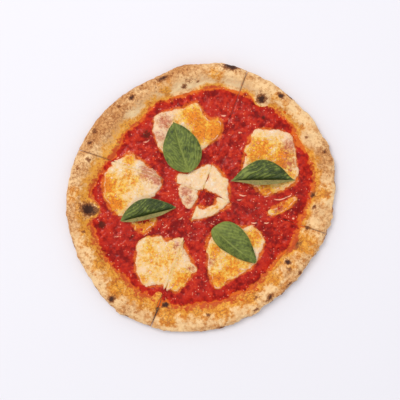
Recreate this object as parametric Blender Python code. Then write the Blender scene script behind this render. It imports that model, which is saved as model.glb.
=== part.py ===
"""Margherita pizza, cut into quarters that still lie together, in metres with +Z up.

Each quarter is a baked dough slice, a sauce layer that runs through to its cut faces, and
the mozzarella and basil that lie on it. Everything is laid out round the point where the two
cuts cross; the empty that carries the pieces puts the middle of the pizza at the origin, with
the flat underside at height zero.
"""

import math
from collections import namedtuple

import bmesh
import bpy
from mathutils import Vector
from mathutils.geometry import delaunay_2d_cdt, intersect_point_line

MM = 0.001
CLEARANCE = 0.3 * MM

# Outline. A wave is (lobes, size, heading of a crest in degrees), and adds to the mean radius.
EDGE_RADIUS = 148.0 * MM
EDGE_WAVES = (
    (1, 7.0 * MM, 254),
    (2, 5.8 * MM, 43),
    (3, 1.4 * MM, 3),
    (4, 1.6 * MM, 82),
    (5, 0.8 * MM, 15),
    (7, 0.6 * MM, 33),
)
SAUCE_RADIUS = 119.8 * MM
SAUCE_WAVES = (
    (1, 5.6 * MM, 268),
    (2, 8.6 * MM, 45),
    (4, 2.6 * MM, 12),
    (6, 1.5 * MM, 7),
    (7, 0.7 * MM, 31),
)

# Puffed rim. Shares are of the rim's width, measured inwards from its outer edge.
RIM_HEIGHT = 15.6 * MM
RIM_HEIGHT_WAVES = (
    (2, 0.7 * MM, 200),
    (3, 0.9 * MM, 75),
    (5, 0.7 * MM, 20),
    (9, 0.5 * MM, 10),
)
BELLY_SHARE = 0.40
CREST_SHARE = 0.43
TOE_SHARE = 1.15
RIM_SQUARENESS = 2.5

# Blisters on the rim: heading in degrees, distance from the crossing, radius, height.
BLISTERS = (
    (189.0, 134 * MM, 8 * MM, 3.5 * MM),
    (57.9, 126 * MM, 6 * MM, 2.5 * MM),
    (251.8, 134 * MM, 7 * MM, 2.5 * MM),
    (28.0, 140 * MM, 9 * MM, 1.8 * MM),
    (112.0, 128 * MM, 9 * MM, 1.6 * MM),
    (148.0, 132 * MM, 8 * MM, 1.5 * MM),
    (222.0, 146 * MM, 10 * MM, 1.4 * MM),
    (305.0, 132 * MM, 9 * MM, 1.6 * MM),
)
BLISTER_RUN_OUT = 3 * MM

# Layers
BASE_THICKNESS = 3.4 * MM
SAUCE_THICKNESS = 1.2 * MM
SAUCE_EDGE_THICKNESS = 0.4 * MM
SAUCE_TOP = BASE_THICKNESS + CLEARANCE + SAUCE_THICKNESS
MOZZARELLA_THICKNESS = 2.0 * MM
MOZZARELLA_EDGE = 0.5 * MM
MOZZARELLA_ROUNDING = 6 * MM
SMEAR_THICKNESS = 0.9 * MM
MOZZARELLA_TOP = SAUCE_TOP + CLEARANCE + MOZZARELLA_THICKNESS
LEAF_THICKNESS = 0.6 * MM

# The cuts: heading in degrees, and how far the cut gapes at the rim.
CUTS = (
    (-18.8, 0.4 * MM),
    (69.3, 0.6 * MM),
    (161.2, 0.4 * MM),
    (249.3, 1.2 * MM),
)
SLICE_NAMES = ("ne", "nw", "sw", "se")
SLICE_SHIFT = 0.3 * MM

# Mesh steps
SLICE_STEPS = 32
SLOPE_STEPS = 4
BULGE_STEPS = 10
OUTLINE_STEPS = 2
MOZZARELLA_GRID = 6.5 * MM
MOZZARELLA_INSET = 2 * MM
LEAST_STEP = 1.2 * MM
MERGE_DISTANCE = 1e-7
LEAF_LENGTH_STEPS = 12
LEAF_WIDTH_STEPS = 3
SHARP_ANGLE = 40

# Mozzarella outlines in millimetres from the crossing of the cuts, each for the slices it covers.
MOZZARELLA = {
    "mozzarella_nw": (
        ("nw",),
        ((-54, 79), (-41, 89), (-26, 92), (-10, 99), (-3, 97), (4, 85), (11, 80), (19, 82),
         (23, 73), (20, 62), (3, 49), (-16, 40), (-38, 39), (-50, 54)),
    ),
    "mozzarella_left": (
        ("nw", "sw"),
        ((-82, 42), (-73, 39), (-58, 26), (-45, 14), (-46, 5), (-60, -9), (-78, -23), (-92, -27),
         (-103, -19), (-110, 0), (-111, 12), (-100, 29)),
    ),
    "mozzarella_middle_ne": (
        ("ne",),
        ((2, 3), (7, 15), (11, 29), (20, 23), (26, 14), (30, 6), (30, -10), (21, -6), (14, -1)),
    ),
    "mozzarella_middle_nw": (
        ("nw",),
        ((1, 2), (10, 27), (1, 28), (-9, 23), (-22, 20), (-28, 15), (-25, 7), (-12, 4)),
    ),
    "mozzarella_middle_sw": (
        ("sw",),
        ((-24, 7), (-4, 0), (-9, -14), (-15, -18), (-22, -9)),
    ),
    "mozzarella_middle_se": (
        ("se",),
        ((18, -6), (30, -10), (28, -17), (19, -22), (5, -28), (-12, -32), (-10, -24), (-5, -16),
         (4, -18), (13, -15)),
    ),
    "mozzarella_ne": (
        ("ne",),
        ((54, 62), (61, 68), (71, 70), (91, 66), (102, 58), (103, 40), (106, 24), (105, 12),
         (96, 4), (73, -4), (56, 6), (45, 24), (45, 34), (49, 50)),
    ),
    "mozzarella_bottom": (
        ("sw", "se"),
        ((-71, -58), (-62, -52), (-47, -50), (-41, -54), (-24, -53), (-19, -63), (-10, -80),
         (-7, -88), (-14, -97), (-27, -111), (-35, -110), (-44, -104), (-54, -106), (-65, -103),
         (-74, -88), (-74, -72)),
    ),
    "mozzarella_se": (
        ("se",),
        ((48, -39), (58, -40), (69, -54), (67, -65), (56, -84), (35, -96), (18, -107), (11, -103),
         (6, -85), (6, -70), (5, -55), (18, -42)),
    ),
    "mozzarella_smear_ne": (
        ("ne",),
        ((74, -23), (81, -17), (92, -12), (103, -7), (105, -10), (97, -18), (87, -23), (77, -27)),
    ),
    "mozzarella_smear_sw": (
        ("sw",),
        ((-78, -33), (-68, -32), (-52, -29), (-53, -36), (-59, -43), (-65, -47), (-76, -39)),
    ),
}

# A basil leaf: stem end and tip in millimetres from the crossing, the blade's width on its left
# and right, how steeply each half leaves the midrib and how far it curls over, its arch, its
# sideways bend, and how gently the blade swells from the stem and tapers to the tip (small is
# blunt, large is slim).
Leaf = namedtuple("Leaf", "stem tip widths slopes curls arch bend swell taper")
LEAVES = {
    "basil_nw": Leaf((-14, 21), (-32, 77), (20.5, 22.5), (14, 12), (38, 34), 1.5, 1.5, 0.62, 0.90),
    "basil_ne": Leaf((32, 12), (103, 13), (23.5, 10), (30, 84), (58, 48), 2.0, 0.0, 1.20, 1.20),
    "basil_sw": Leaf((-90, -33), (-29, -18), (19, 8.5), (30, 80), (56, 46), 2.0, 0.0, 0.80, 0.95),
    "basil_se": Leaf((12, -41), (59, -79), (22, 11.5), (16, 12), (40, 60), 1.5, -2.0, 0.46, 0.80),
}
LEAF_BLUNT_END = 0.7 * MM

Slice = namedtuple("Slice", "name start end shift")


def waves(mean, terms, angle):
    """A size that swells and dips round the pizza."""
    return mean + sum(size * math.cos(lobes * (angle - math.radians(crest)))
                      for lobes, size, crest in terms)


def heading(angle):
    """A flat unit vector at an angle in radians."""
    return Vector((math.cos(angle), math.sin(angle)))


def make_slices():
    """The four quarters, each drawn in from its cuts by half of what they gape."""
    slices = {}
    for place, name in enumerate(SLICE_NAMES):
        first, first_gape = CUTS[place]
        last, last_gape = CUTS[(place + 1) % len(CUTS)]
        start = math.radians(first)
        end = math.radians(last)
        if end < start:
            end += math.tau
        shift = heading((start + end) / 2) * SLICE_SHIFT
        start += first_gape / 2 / EDGE_RADIUS
        end -= last_gape / 2 / EDGE_RADIUS
        slices[name] = Slice(name, start, end, shift)
    return slices


def blister_rise(radius, angle, sauce):
    """How far the blisters lift the crust, fading to nothing at the sauce."""
    spot = heading(angle) * radius
    rise = 0.0
    for blister_angle, distance, size, height in BLISTERS:
        centre = heading(math.radians(blister_angle)) * distance
        rise += height * math.exp(-((spot - centre).length / size) ** 2)
    ramp = min(1.0, max(0.0, (radius - sauce) / BLISTER_RUN_OUT))
    return rise * ramp


def crust_profile(angle):
    """Distance and height of points over a slice: base, inner slope, rim and underside."""
    edge = waves(EDGE_RADIUS, EDGE_WAVES, angle)
    sauce = waves(SAUCE_RADIUS, SAUCE_WAVES, angle)
    height = waves(RIM_HEIGHT, RIM_HEIGHT_WAVES, angle)
    width = edge - sauce
    toe = edge - TOE_SHARE * width
    crest = edge - CREST_SHARE * width
    belly = BELLY_SHARE * height
    points = [(toe / 2, BASE_THICKNESS), (toe, BASE_THICKNESS)]
    for step in range(SLOPE_STEPS + 1):
        distance = sauce + (crest - sauce) * step / SLOPE_STEPS
        climb = (distance - toe) / (crest - toe)
        level = BASE_THICKNESS + (height - BASE_THICKNESS) * (1 - math.cos(math.pi * climb)) / 2
        points.append((distance, level + blister_rise(distance, angle, sauce)))
    for step in range(1, BULGE_STEPS + 1):
        turn = math.pi / 2 - math.pi * step / BULGE_STEPS
        across = abs(math.cos(turn)) ** (2 / RIM_SQUARENESS)
        up = math.copysign(abs(math.sin(turn)) ** (2 / RIM_SQUARENESS), turn)
        distance = crest + (edge - crest) * across
        if turn > 0:
            lift = up * blister_rise(distance, angle, sauce)
            points.append((distance, belly + (height - belly) * up + lift))
        else:
            points.append((distance, belly + belly * up))
    points[-1] = (crest, 0.0)
    points.append((toe / 2, 0.0))
    return points


def sauce_profile(angle):
    """Distance and height of points over the sauce layer, and back along its underside."""
    upper = crust_profile(angle)[:3]
    depths = (SAUCE_THICKNESS, SAUCE_THICKNESS, SAUCE_EDGE_THICKNESS)
    under = [(distance, level + CLEARANCE) for distance, level in upper]
    over = [(distance, level + depth) for (distance, level), depth in zip(under, depths)]
    return over + under[::-1]


def make_object(mesh, name, material, shift=Vector((0, 0))):
    """Close the mesh, face it outwards and give it its place and its material."""
    bmesh.ops.recalc_face_normals(mesh, faces=mesh.faces)
    data = bpy.data.meshes.new(name)
    mesh.to_mesh(data)
    mesh.free()
    data.shade_smooth()
    data.set_sharp_from_angle(angle=math.radians(SHARP_ANGLE))
    data.materials.append(material)
    thing = bpy.data.objects.new(name, data)
    thing.location = (shift.x, shift.y, 0.0)
    bpy.context.scene.collection.objects.link(thing)
    return thing


def make_wedge(name, piece, profile, point_levels, material):
    """A slice swept from cut to cut, with its point at the crossing of the cuts."""
    mesh = bmesh.new()
    top_point, bottom_point = (mesh.verts.new((0, 0, level)) for level in point_levels)
    rows = []
    for step in range(SLICE_STEPS + 1):
        angle = piece.start + (piece.end - piece.start) * step / SLICE_STEPS
        way = heading(angle)
        rows.append([mesh.verts.new((way.x * distance, way.y * distance, level))
                     for distance, level in profile(angle)])
    for row, beside in zip(rows, rows[1:]):
        mesh.faces.new((top_point, row[0], beside[0]))
        mesh.faces.new((bottom_point, beside[-1], row[-1]))
        for place in range(len(row) - 1):
            mesh.faces.new((row[place], row[place + 1], beside[place + 1], beside[place]))
    for row in (rows[0], rows[-1]):
        mesh.faces.new([top_point] + row + [bottom_point])
    return make_object(mesh, name, material, piece.shift)


def smooth_outline(corners):
    """A closed curve through the corners, without its sharp turns."""
    points = [Vector(corner) * MM for corner in corners]
    count = len(points)
    curve = []
    for place in range(count):
        before, here, after, beyond = (points[(place + step) % count] for step in (-1, 0, 1, 2))
        for part in range(OUTLINE_STEPS):
            t = part / OUTLINE_STEPS
            curve.append(0.5 * (2 * here + (after - before) * t
                                + (2 * before - 5 * here + 4 * after - beyond) * t ** 2
                                + (3 * here - before - 3 * after + beyond) * t ** 3))
    return curve


def trim_to_line(outline, inward, depth):
    """The part of a closed outline that lies at least depth inside a line through the crossing."""
    trimmed = []
    for here, after in zip(outline, outline[1:] + outline[:1]):
        now = here.dot(inward) - depth
        then = after.dot(inward) - depth
        if now >= 0:
            trimmed.append(here)
        if now * then < 0:
            trimmed.append(here.lerp(after, now / (now - then)))
    return trimmed


def thin_out(outline, least):
    """The outline without points closer together than least."""
    kept = []
    for point in outline:
        if not kept or (point - kept[-1]).length > least:
            kept.append(point)
    while (kept[0] - kept[-1]).length <= least:
        kept.pop()
    return kept


def is_inside(point, outline):
    """Whether a point lies within a closed outline."""
    inside = False
    for here, after in zip(outline, outline[1:] + outline[:1]):
        if (here.y > point.y) != (after.y > point.y):
            crossing = here.x + (point.y - here.y) * (after.x - here.x) / (after.y - here.y)
            if point.x < crossing:
                inside = not inside
    return inside


def gap_to(point, outline):
    """Distance from a point to a closed outline."""
    gaps = []
    for here, after in zip(outline, outline[1:] + outline[:1]):
        foot, share = intersect_point_line(point, here, after)
        foot = here.lerp(after, min(1.0, max(0.0, share)))
        gaps.append((point - foot.to_2d()).length)
    return min(gaps)


def make_mozzarella(name, piece, corners, thickness, material):
    """A melted patch: flat below, thin at its own edge, full depth at a cut face."""
    whole = smooth_outline(corners)
    inset = CLEARANCE / 2
    outline = trim_to_line(whole, heading(piece.start + math.pi / 2), inset)
    outline = trim_to_line(outline, heading(piece.end - math.pi / 2), inset)
    outline = thin_out(outline, LEAST_STEP)
    points = list(outline)
    low = Vector((min(point.x for point in outline), min(point.y for point in outline)))
    high = Vector((max(point.x for point in outline), max(point.y for point in outline)))
    columns = int((high.x - low.x) / MOZZARELLA_GRID) + 1
    rows = int((high.y - low.y) / MOZZARELLA_GRID) + 1
    for row in range(rows):
        for column in range(columns):
            step = Vector((column + 0.5 * (row % 2), row + 0.5)) * MOZZARELLA_GRID
            spot = low + step
            if is_inside(spot, outline) and gap_to(spot, outline) > MOZZARELLA_INSET:
                points.append(spot)
    border = list(range(len(outline)))
    flat = delaunay_2d_cdt(points, [], [border], 1, MERGE_DISTANCE)
    floor = SAUCE_TOP + CLEARANCE
    mesh = bmesh.new()
    upper = []
    for spot in flat[0]:
        swell = min(1.0, gap_to(spot, whole) / MOZZARELLA_ROUNDING)
        swell = math.sin(swell * math.pi / 2)
        edge = min(MOZZARELLA_EDGE, thickness / 2)
        level = floor + edge + (thickness - edge) * swell
        upper.append(mesh.verts.new((spot.x, spot.y, level)))
    for face in flat[2]:
        mesh.faces.new([upper[place] for place in face])
    lower = [mesh.verts.new((spot.x, spot.y, floor)) for spot in outline]
    mesh.faces.new(lower)
    count = len(outline)
    for place in range(count):
        after = (place + 1) % count
        mesh.faces.new((upper[place], upper[after], lower[after], lower[place]))
    return make_object(mesh, name, material, piece.shift)


def leaf_breadth(share, swell, taper):
    """Breadth of a leaf along its length, from 0 at the ends to 1 at its widest."""
    widest = swell / (swell + taper)
    most = widest ** swell * (1 - widest) ** taper
    return share ** swell * (1 - share) ** taper / most


def leaf_spot(leaf, share, side, out):
    """A point of the leaf's middle surface, beside the midrib by out, from 0 to 1, on one side."""
    stem = Vector(leaf.stem) * MM
    tip = Vector(leaf.tip) * MM
    along = (tip - stem).normalized()
    beside = Vector((-along.y, along.x)) * side
    half = 0 if side > 0 else 1
    breadth = leaf.widths[half] * MM * leaf_breadth(share, leaf.swell, leaf.taper)
    breadth = max(LEAF_BLUNT_END, breadth)
    slope = math.radians(leaf.slopes[half])
    curl = math.radians(leaf.curls[half])
    reach = breadth * (math.sin(slope) - math.sin(slope - curl * out)) / curl
    rise = breadth * (math.cos(slope - curl * out) - math.cos(slope)) / curl
    swing = math.sin(math.pi * share)
    midrib = stem.lerp(tip, share) + Vector((-along.y, along.x)) * leaf.bend * MM * swing
    flat = midrib + beside * reach
    return Vector((flat.x, flat.y, rise + leaf.arch * MM * swing))


def make_leaf(name, leaf, shift, material):
    """A thin closed leaf, laid so that its lowest point clears the mozzarella."""
    outs = [(-1, step / LEAF_WIDTH_STEPS) for step in range(LEAF_WIDTH_STEPS, 0, -1)]
    outs += [(1, step / LEAF_WIDTH_STEPS) for step in range(LEAF_WIDTH_STEPS + 1)]
    sheet = bmesh.new()
    rows = []
    for step in range(LEAF_LENGTH_STEPS + 1):
        share = step / LEAF_LENGTH_STEPS
        rows.append([sheet.verts.new(leaf_spot(leaf, share, side, out)) for side, out in outs])
    for row, beyond in zip(rows, rows[1:]):
        for place in range(len(row) - 1):
            sheet.faces.new((row[place], beyond[place], beyond[place + 1], row[place + 1]))
    sheet.normal_update()
    lowest = min(vert.co.z for vert in sheet.verts)
    lift = MOZZARELLA_TOP + CLEARANCE + LEAF_THICKNESS / 2 - lowest
    mesh = bmesh.new()
    sides = []
    for offset in (LEAF_THICKNESS / 2, -LEAF_THICKNESS / 2):
        sides.append([[mesh.verts.new(vert.co + vert.normal * offset + Vector((0, 0, lift)))
                       for vert in row] for row in rows])
    sheet.free()
    for grid in sides:
        for row, beyond in zip(grid, grid[1:]):
            for place in range(len(row) - 1):
                mesh.faces.new((row[place], beyond[place], beyond[place + 1], row[place + 1]))
    rims = [grid[0] + [row[-1] for row in grid[1:]] + grid[-1][-2::-1]
            + [row[0] for row in grid[-2:0:-1]] for grid in sides]
    over, under = rims
    for place in range(len(over)):
        after = (place + 1) % len(over)
        mesh.faces.new((over[place], over[after], under[after], under[place]))
    return make_object(mesh, name, material, shift)


def make_material(name, colour, roughness):
    """A plain finish for one of the foods."""
    material = bpy.data.materials.new(name)
    material.use_nodes = True
    shader = material.node_tree.nodes["Principled BSDF"]
    shader.inputs["Base Color"].default_value = (*colour, 1.0)
    shader.inputs["Roughness"].default_value = roughness
    shader.inputs["Metallic"].default_value = 0.0
    material.diffuse_color = (*colour, 1.0)
    return material


def slice_at(slices, corner):
    """The slice under a point given in millimetres."""
    angle = math.atan2(corner[1], corner[0])
    for piece in slices.values():
        if (angle - piece.start) % math.tau < piece.end - piece.start:
            return piece
    raise ValueError("the point lies in a cut")


def middle_of(things):
    """Middle of the box round some objects, seen from above."""
    spots = [thing.location + vert.co for thing in things for vert in thing.data.vertices]
    middle = Vector((0, 0, 0))
    for axis in (0, 1):
        places = [spot[axis] for spot in spots]
        middle[axis] = (min(places) + max(places)) / 2
    return middle


def make_pizza():
    """Build every piece and set the middle of the pizza on the origin."""
    crust = make_material("crust", (0.76, 0.50, 0.24), 0.85)
    sauce = make_material("sauce", (0.52, 0.03, 0.01), 0.35)
    mozzarella = make_material("mozzarella", (0.86, 0.66, 0.34), 0.40)
    basil = make_material("basil", (0.09, 0.20, 0.04), 0.50)
    slices = make_slices()
    crusts = []
    things = []
    for name, piece in slices.items():
        levels = (BASE_THICKNESS, 0.0)
        crusts.append(make_wedge("crust_" + name, piece, crust_profile, levels, crust))
        levels = (SAUCE_TOP, BASE_THICKNESS + CLEARANCE)
        things.append(make_wedge("sauce_" + name, piece, sauce_profile, levels, sauce))
    for name, (covered, corners) in MOZZARELLA.items():
        thickness = SMEAR_THICKNESS if "smear" in name else MOZZARELLA_THICKNESS
        for place in covered:
            full_name = name + "_" + place if len(covered) > 1 else name
            things.append(make_mozzarella(full_name, slices[place], corners, thickness, mozzarella))
    for name, leaf in LEAVES.items():
        middle = [(start + end) / 2 for start, end in zip(leaf.stem, leaf.tip)]
        things.append(make_leaf(name, leaf, slice_at(slices, middle).shift, basil))
    carrier = bpy.data.objects.new("pizza", None)
    bpy.context.scene.collection.objects.link(carrier)
    carrier.location = -middle_of(crusts)
    for thing in crusts + things:
        thing.parent = carrier


for leftover in list(bpy.data.objects):
    bpy.data.objects.remove(leftover)
make_pizza()
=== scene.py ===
"""The looks of a margherita pizza in quarters, built round its construction frame.

Each piece of food has an operator in the 3D view's sidebar, and so has the stage it stands on.
"""

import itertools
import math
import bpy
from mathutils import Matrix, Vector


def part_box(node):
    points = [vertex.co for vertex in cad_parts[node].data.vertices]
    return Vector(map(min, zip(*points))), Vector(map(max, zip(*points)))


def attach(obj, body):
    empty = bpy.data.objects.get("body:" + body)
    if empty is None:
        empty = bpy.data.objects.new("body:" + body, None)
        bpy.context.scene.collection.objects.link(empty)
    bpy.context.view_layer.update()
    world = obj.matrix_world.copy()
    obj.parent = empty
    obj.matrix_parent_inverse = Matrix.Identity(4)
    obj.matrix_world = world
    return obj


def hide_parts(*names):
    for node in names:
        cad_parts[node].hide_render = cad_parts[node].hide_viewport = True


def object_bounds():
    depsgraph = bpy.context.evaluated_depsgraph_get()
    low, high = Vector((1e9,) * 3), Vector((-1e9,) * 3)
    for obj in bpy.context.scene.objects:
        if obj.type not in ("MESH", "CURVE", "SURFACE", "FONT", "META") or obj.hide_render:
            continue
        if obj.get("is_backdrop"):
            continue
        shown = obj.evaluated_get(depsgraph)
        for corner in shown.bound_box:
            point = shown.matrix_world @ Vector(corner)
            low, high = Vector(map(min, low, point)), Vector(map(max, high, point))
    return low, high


bl_info = {
    "name": "Margherita Pizza",
    "version": (1, 0, 0),
    "blender": (4, 5, 0),
    "location": "View3D > Sidebar > Pizza",
    "description": "Bakes a quartered margherita pizza round its construction frame",
    "category": "Add Mesh",
}

from collections import namedtuple

import bpy
import numpy as np
from mathutils import Vector
from mathutils.geometry import delaunay_2d_cdt

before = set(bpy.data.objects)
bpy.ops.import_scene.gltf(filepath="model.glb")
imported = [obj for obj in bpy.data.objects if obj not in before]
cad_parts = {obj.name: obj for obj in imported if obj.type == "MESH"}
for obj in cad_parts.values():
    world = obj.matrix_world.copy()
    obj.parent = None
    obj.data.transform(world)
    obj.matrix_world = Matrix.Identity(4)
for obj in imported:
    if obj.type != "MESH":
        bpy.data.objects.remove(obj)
CAD_LOW, CAD_HIGH = (np.array(corner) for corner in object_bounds())

MM = 0.001
CLEARANCE = 0.3 * MM

# Outline of the pizza. A wave is (lobes, size, heading of a crest in degrees).
EDGE_RADIUS = 148.0 * MM
EDGE_WAVES = (
    (1, 7.0 * MM, 254),
    (2, 5.8 * MM, 43),
    (3, 1.4 * MM, 3),
    (4, 1.6 * MM, 82),
    (5, 0.8 * MM, 15),
    (7, 0.6 * MM, 33),
)
SAUCE_RADIUS = 119.8 * MM
SAUCE_WAVES = (
    (1, 5.6 * MM, 268),
    (2, 8.6 * MM, 45),
    (4, 2.6 * MM, 12),
    (6, 1.5 * MM, 7),
    (7, 0.7 * MM, 31),
)

# Puffed rim. Shares are of the rim's width, measured inwards from its outer edge.
RIM_HEIGHT = 15.6 * MM
RIM_HEIGHT_WAVES = (
    (2, 0.7 * MM, 200),
    (3, 0.9 * MM, 75),
    (5, 0.7 * MM, 20),
    (9, 0.5 * MM, 10),
)
BELLY_SHARE = 0.40
CREST_SHARE = 0.43
TOE_SHARE = 1.15
SOFT_TOE = 9 * MM
RIM_SQUARENESS = 2.5

# Blisters on the rim: heading in degrees, distance from the crossing, radius, height.
BLISTERS = (
    (189.0, 134 * MM, 8 * MM, 3.5 * MM),
    (57.9, 126 * MM, 6 * MM, 2.5 * MM),
    (251.8, 134 * MM, 7 * MM, 2.5 * MM),
    (28.0, 140 * MM, 9 * MM, 1.8 * MM),
    (112.0, 128 * MM, 9 * MM, 1.6 * MM),
    (148.0, 132 * MM, 8 * MM, 1.5 * MM),
    (222.0, 146 * MM, 10 * MM, 1.4 * MM),
    (305.0, 132 * MM, 9 * MM, 1.6 * MM),
)
BLISTER_RUN_OUT = 3 * MM

# Layers
BASE_THICKNESS = 3.4 * MM
SAUCE_THICKNESS = 1.2 * MM
SAUCE_FLOOR = BASE_THICKNESS + CLEARANCE
SAUCE_TOP = SAUCE_FLOOR + SAUCE_THICKNESS

# The crust's grid: how far it runs up the slope and round the bulge, and the shares of the way
# out to the rim's toe at which the base and the sole have points.
SLOPE_RUN = 34 * MM
BULGE_RUN = 44 * MM
BASE_SHARES = (0.35, 0.7, 0.9)
SOLE_SHARES = (1.0, 0.85, 0.6, 0.3)

# How wide a band along a cut is pressed down, and how wide one sinks where the cut gapes.
PRESS_WIDTH = 1.2 * MM
GASH_WIDTH = 2.2 * MM

# The sauce's edge: how far past its mean line it may run, the size of its broad and fine
# raggedness, how gently it thins out, how far it may dip below the dough, and the rings and
# drop of its hidden underside.
SAUCE_RUN_OVER = 7 * MM
SAUCE_RAGGED = 2.6 * MM
SAUCE_JAGGED = 1.5 * MM
SAUCE_SOFT_EDGE = 3.5 * MM
SAUCE_DIP = 2.5 * MM
SKIRT_RINGS = 7
SKIRT_DROP = 3.2 * MM

# Mozzarella: how far in its edge is rounded, how far it is sunk in the sauce, the size of its
# outline's broad and fine raggedness, how close its rows of points are for their step, and how
# far its oil runs into the sauce.
CHEESE_ROUNDING = 5.0 * MM
CHEESE_SINK = 1.3 * MM
CHEESE_RAGGED = 1.8 * MM
CHEESE_JAGGED = 0.3 * MM
ROW_SHARE = 0.87
OIL_RUN = 3.0 * MM

# The cuts: heading in degrees, and how far the cut gapes at the rim.
CUTS = (
    (-18.8, 0.4 * MM),
    (69.3, 0.6 * MM),
    (161.2, 0.4 * MM),
    (249.3, 1.2 * MM),
)
SLICE_NAMES = ("ne", "nw", "sw", "se")
LEAST_CUT = 0.03 * MM
SLICE_SHIFT = 0.3 * MM

# Round the pizza: how far oil and sauce soak out into the rim, how wrinkled the rim is and its
# browning, how pale its inner slope is (partly its cream colour, partly painted light that lifts
# the slope's own shade on one side), and how light the sauce is.
OIL_REACH = 13 * MM
OIL_REACH_WAVES = ((1, 5.0 * MM, 220), (3, 3.0 * MM, 145))
WRINKLE_WAVES = ((1, 0.7, 320), (3, 0.2, 100))
BROWNING_WAVES = ((1, 0.20, 130), (2, 0.25, 153), (3, 0.07, 0), (5, 0.05, 20))
SAUCE_LIGHT_WAVES = ((1, 0.08, 150),)
SLOPE_CREAM_AND_LIGHT_WAVES = ((1, 0.5, 120), (2, 0.2, 135))

# Oily, golden places on the rim: x, y, radius in millimetres from the crossing, strength.
CRUST_PATCHES = (
    (-40, 113, 8, 0.8),
    (-84, 70, 7, 0.8),
    (-95, 52, 9, 0.8),
    (-60, 93, 8, 0.7),
    (-148, -5, 7, 0.5),
    (15, 130, 9, 0.75),
    (81, 104, 7, 0.6),
    (100, 84, 9, 0.45),
    (134, -2, 10, 0.85),
    (-140, -3, 9, 0.6),
    (-122, -53, 12, 0.75),
    (-113, -79, 12, 0.9),
    (-92, -105, 12, 1.0),
    (-67, -119, 10, 1.0),
    (-38, -138, 12, 1.0),
    (-5, -132, 12, 0.95),
    (114, -57, 15, 1.0),
    (90, -67, 10, 0.9),
    (79, -96, 12, 0.9),
    (53, -116, 12, 1.0),
    (22, -132, 12, 1.0),
    (97, -82, 9, 0.6),
    (92, 92, 8, 0.5),
    (112, 72, 8, 0.4),
)

# Bubbles of dough that stand out of the sauce's edge: x, y, radius and height in millimetres.
EDGE_BUBBLES = (
    (-124, -20, 9, 5.0),
    (66, 102, 6, 2.2),
    (-49, -116, 5, 2.4),
)

# Where the sauce's edge draws back: x, y, radius in millimetres from the crossing, and depth.
SAUCE_BAYS = (
    (-121, -20, 9, 13.0),
    (66, 101, 8, 8.0),
    (-48, -115, 6, 8.0),
    (-22, 114, 18, 5.5),
    (-75, 88, 12, 5.0),
    (36, 113, 10, 4.0),
    (103, -60, 12, -5.0),
    (113, 54, 12, 5.0),
)

# Where a cut opens wider on the rim: x, y, radius in millimetres from the crossing, strength.
GASHES = (
    (-45, -119, 7, 1.0),
    (-48, -127, 10, 1.1),
)

# Burnt spots, in millimetres from the crossing of the cuts: x, y, half length, half width,
# heading of the length in degrees, and how dark. A slice further off than the reach is spared.
SPOT_REACH = 25 * MM
CHAR_SPOTS = (
    (-126.5, -20, 11.5, 7.0, -15, 1.0),
    (32, 138.5, 9, 4.5, -8, 1.0),
    (-44, 125, 8, 3.0, 24, 0.75),
    (-78, 104, 5, 3.5, 35, 0.7),
    (-92, 94, 3, 3.0, 0, 0.5),
    (-119, 67, 3.5, 3.0, 0, 0.7),
    (-124, 54, 6, 2.2, 30, 0.65),
    (-126, 35, 3.5, 3.0, 0, 0.6),
    (-138, 25, 5, 4.0, 60, 0.35),
    (-20, 117, 3.5, 3.0, 0, 0.6),
    (-15, 123, 5, 3.5, 0, 0.4),
    (-5, 122, 2.2, 2.0, 0, 0.5),
    (66, 103, 7, 5.5, 60, 0.9),
    (87, 106, 4, 3.2, -20, 0.9),
    (98, 105, 5, 2.2, -45, 0.75),
    (136, 44, 3.5, 3.0, 0, 0.6),
    (150, 30, 3.5, 3.0, 90, 0.6),
    (150, 11, 4.5, 3.5, 90, 0.85),
    (116, 60, 2.2, 2.0, 0, 0.6),
    (124, -4, 3.5, 3.0, 50, 0.75),
    (146, -19, 4, 2.5, 70, 0.6),
    (140, -51, 6, 3.5, 60, 0.9),
    (95, -78, 4, 3.0, -20, 0.9),
    (96, -86, 3, 2.6, 0, 0.6),
    (75, -117, 6, 3.5, 55, 0.6),
    (77, -124, 4, 2.5, 60, 0.8),
    (97, -103, 5, 2.2, 50, 0.7),
    (109, -90, 4, 2.0, 50, 0.6),
    (89, -114, 5, 2.2, 50, 0.6),
    (60, -131, 5, 2.5, 30, 0.5),
    (125, -17, 3.5, 2.5, 60, 0.6),
    (106, -59, 7, 3.5, 45, 0.5),
    (7, -137, 3, 2.2, 0, 0.7),
    (-41, -126, 5, 3.6, 20, 0.9),
    (-100, -119, 5, 4.0, 50, 0.75),
    (-125, -99, 3, 2.6, 0, 0.45),
    (-131, -45, 3, 2.6, 0, 0.45),
    (23, -151, 7, 2.2, 5, 0.6),
    (60, -118, 4, 3.0, 30, 0.5),
    (-60, -150, 4, 2.5, -30, 0.5),
    (-84, -138, 3.5, 2.5, -35, 0.4),
    (5, 145, 3, 2.0, 0, 0.4),
    (-67, 118, 3, 2.2, 30, 0.4),
    (122, 84, 4, 2.0, -50, 0.5),
    (-47.5, -126, 9, 3.0, 69, 1.0),
    (117, -40, 3, 2.2, -20, 0.9),
    (143, -52, 4, 2.0, 60, 0.7),
)

# Dark flecks in the sauce: x, y, radius in millimetres from the crossing, and how dark.
SAUCE_FLECKS = (
    (-112, -37, 5.5, 0.85),
    (-78, -50, 3.0, 0.7),
    (69, 83, 3.2, 0.8),
    (64, 86, 5.0, 0.4),
    (-62, 64, 7.0, 0.7),
    (-53, 70, 5.0, 0.6),
    (60, -18, 5.0, 0.5),
    (86, -12, 3.0, 0.4),
    (-38, -113, 4.0, 0.45),
    (100, 2, 4.0, 0.35),
)
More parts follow.
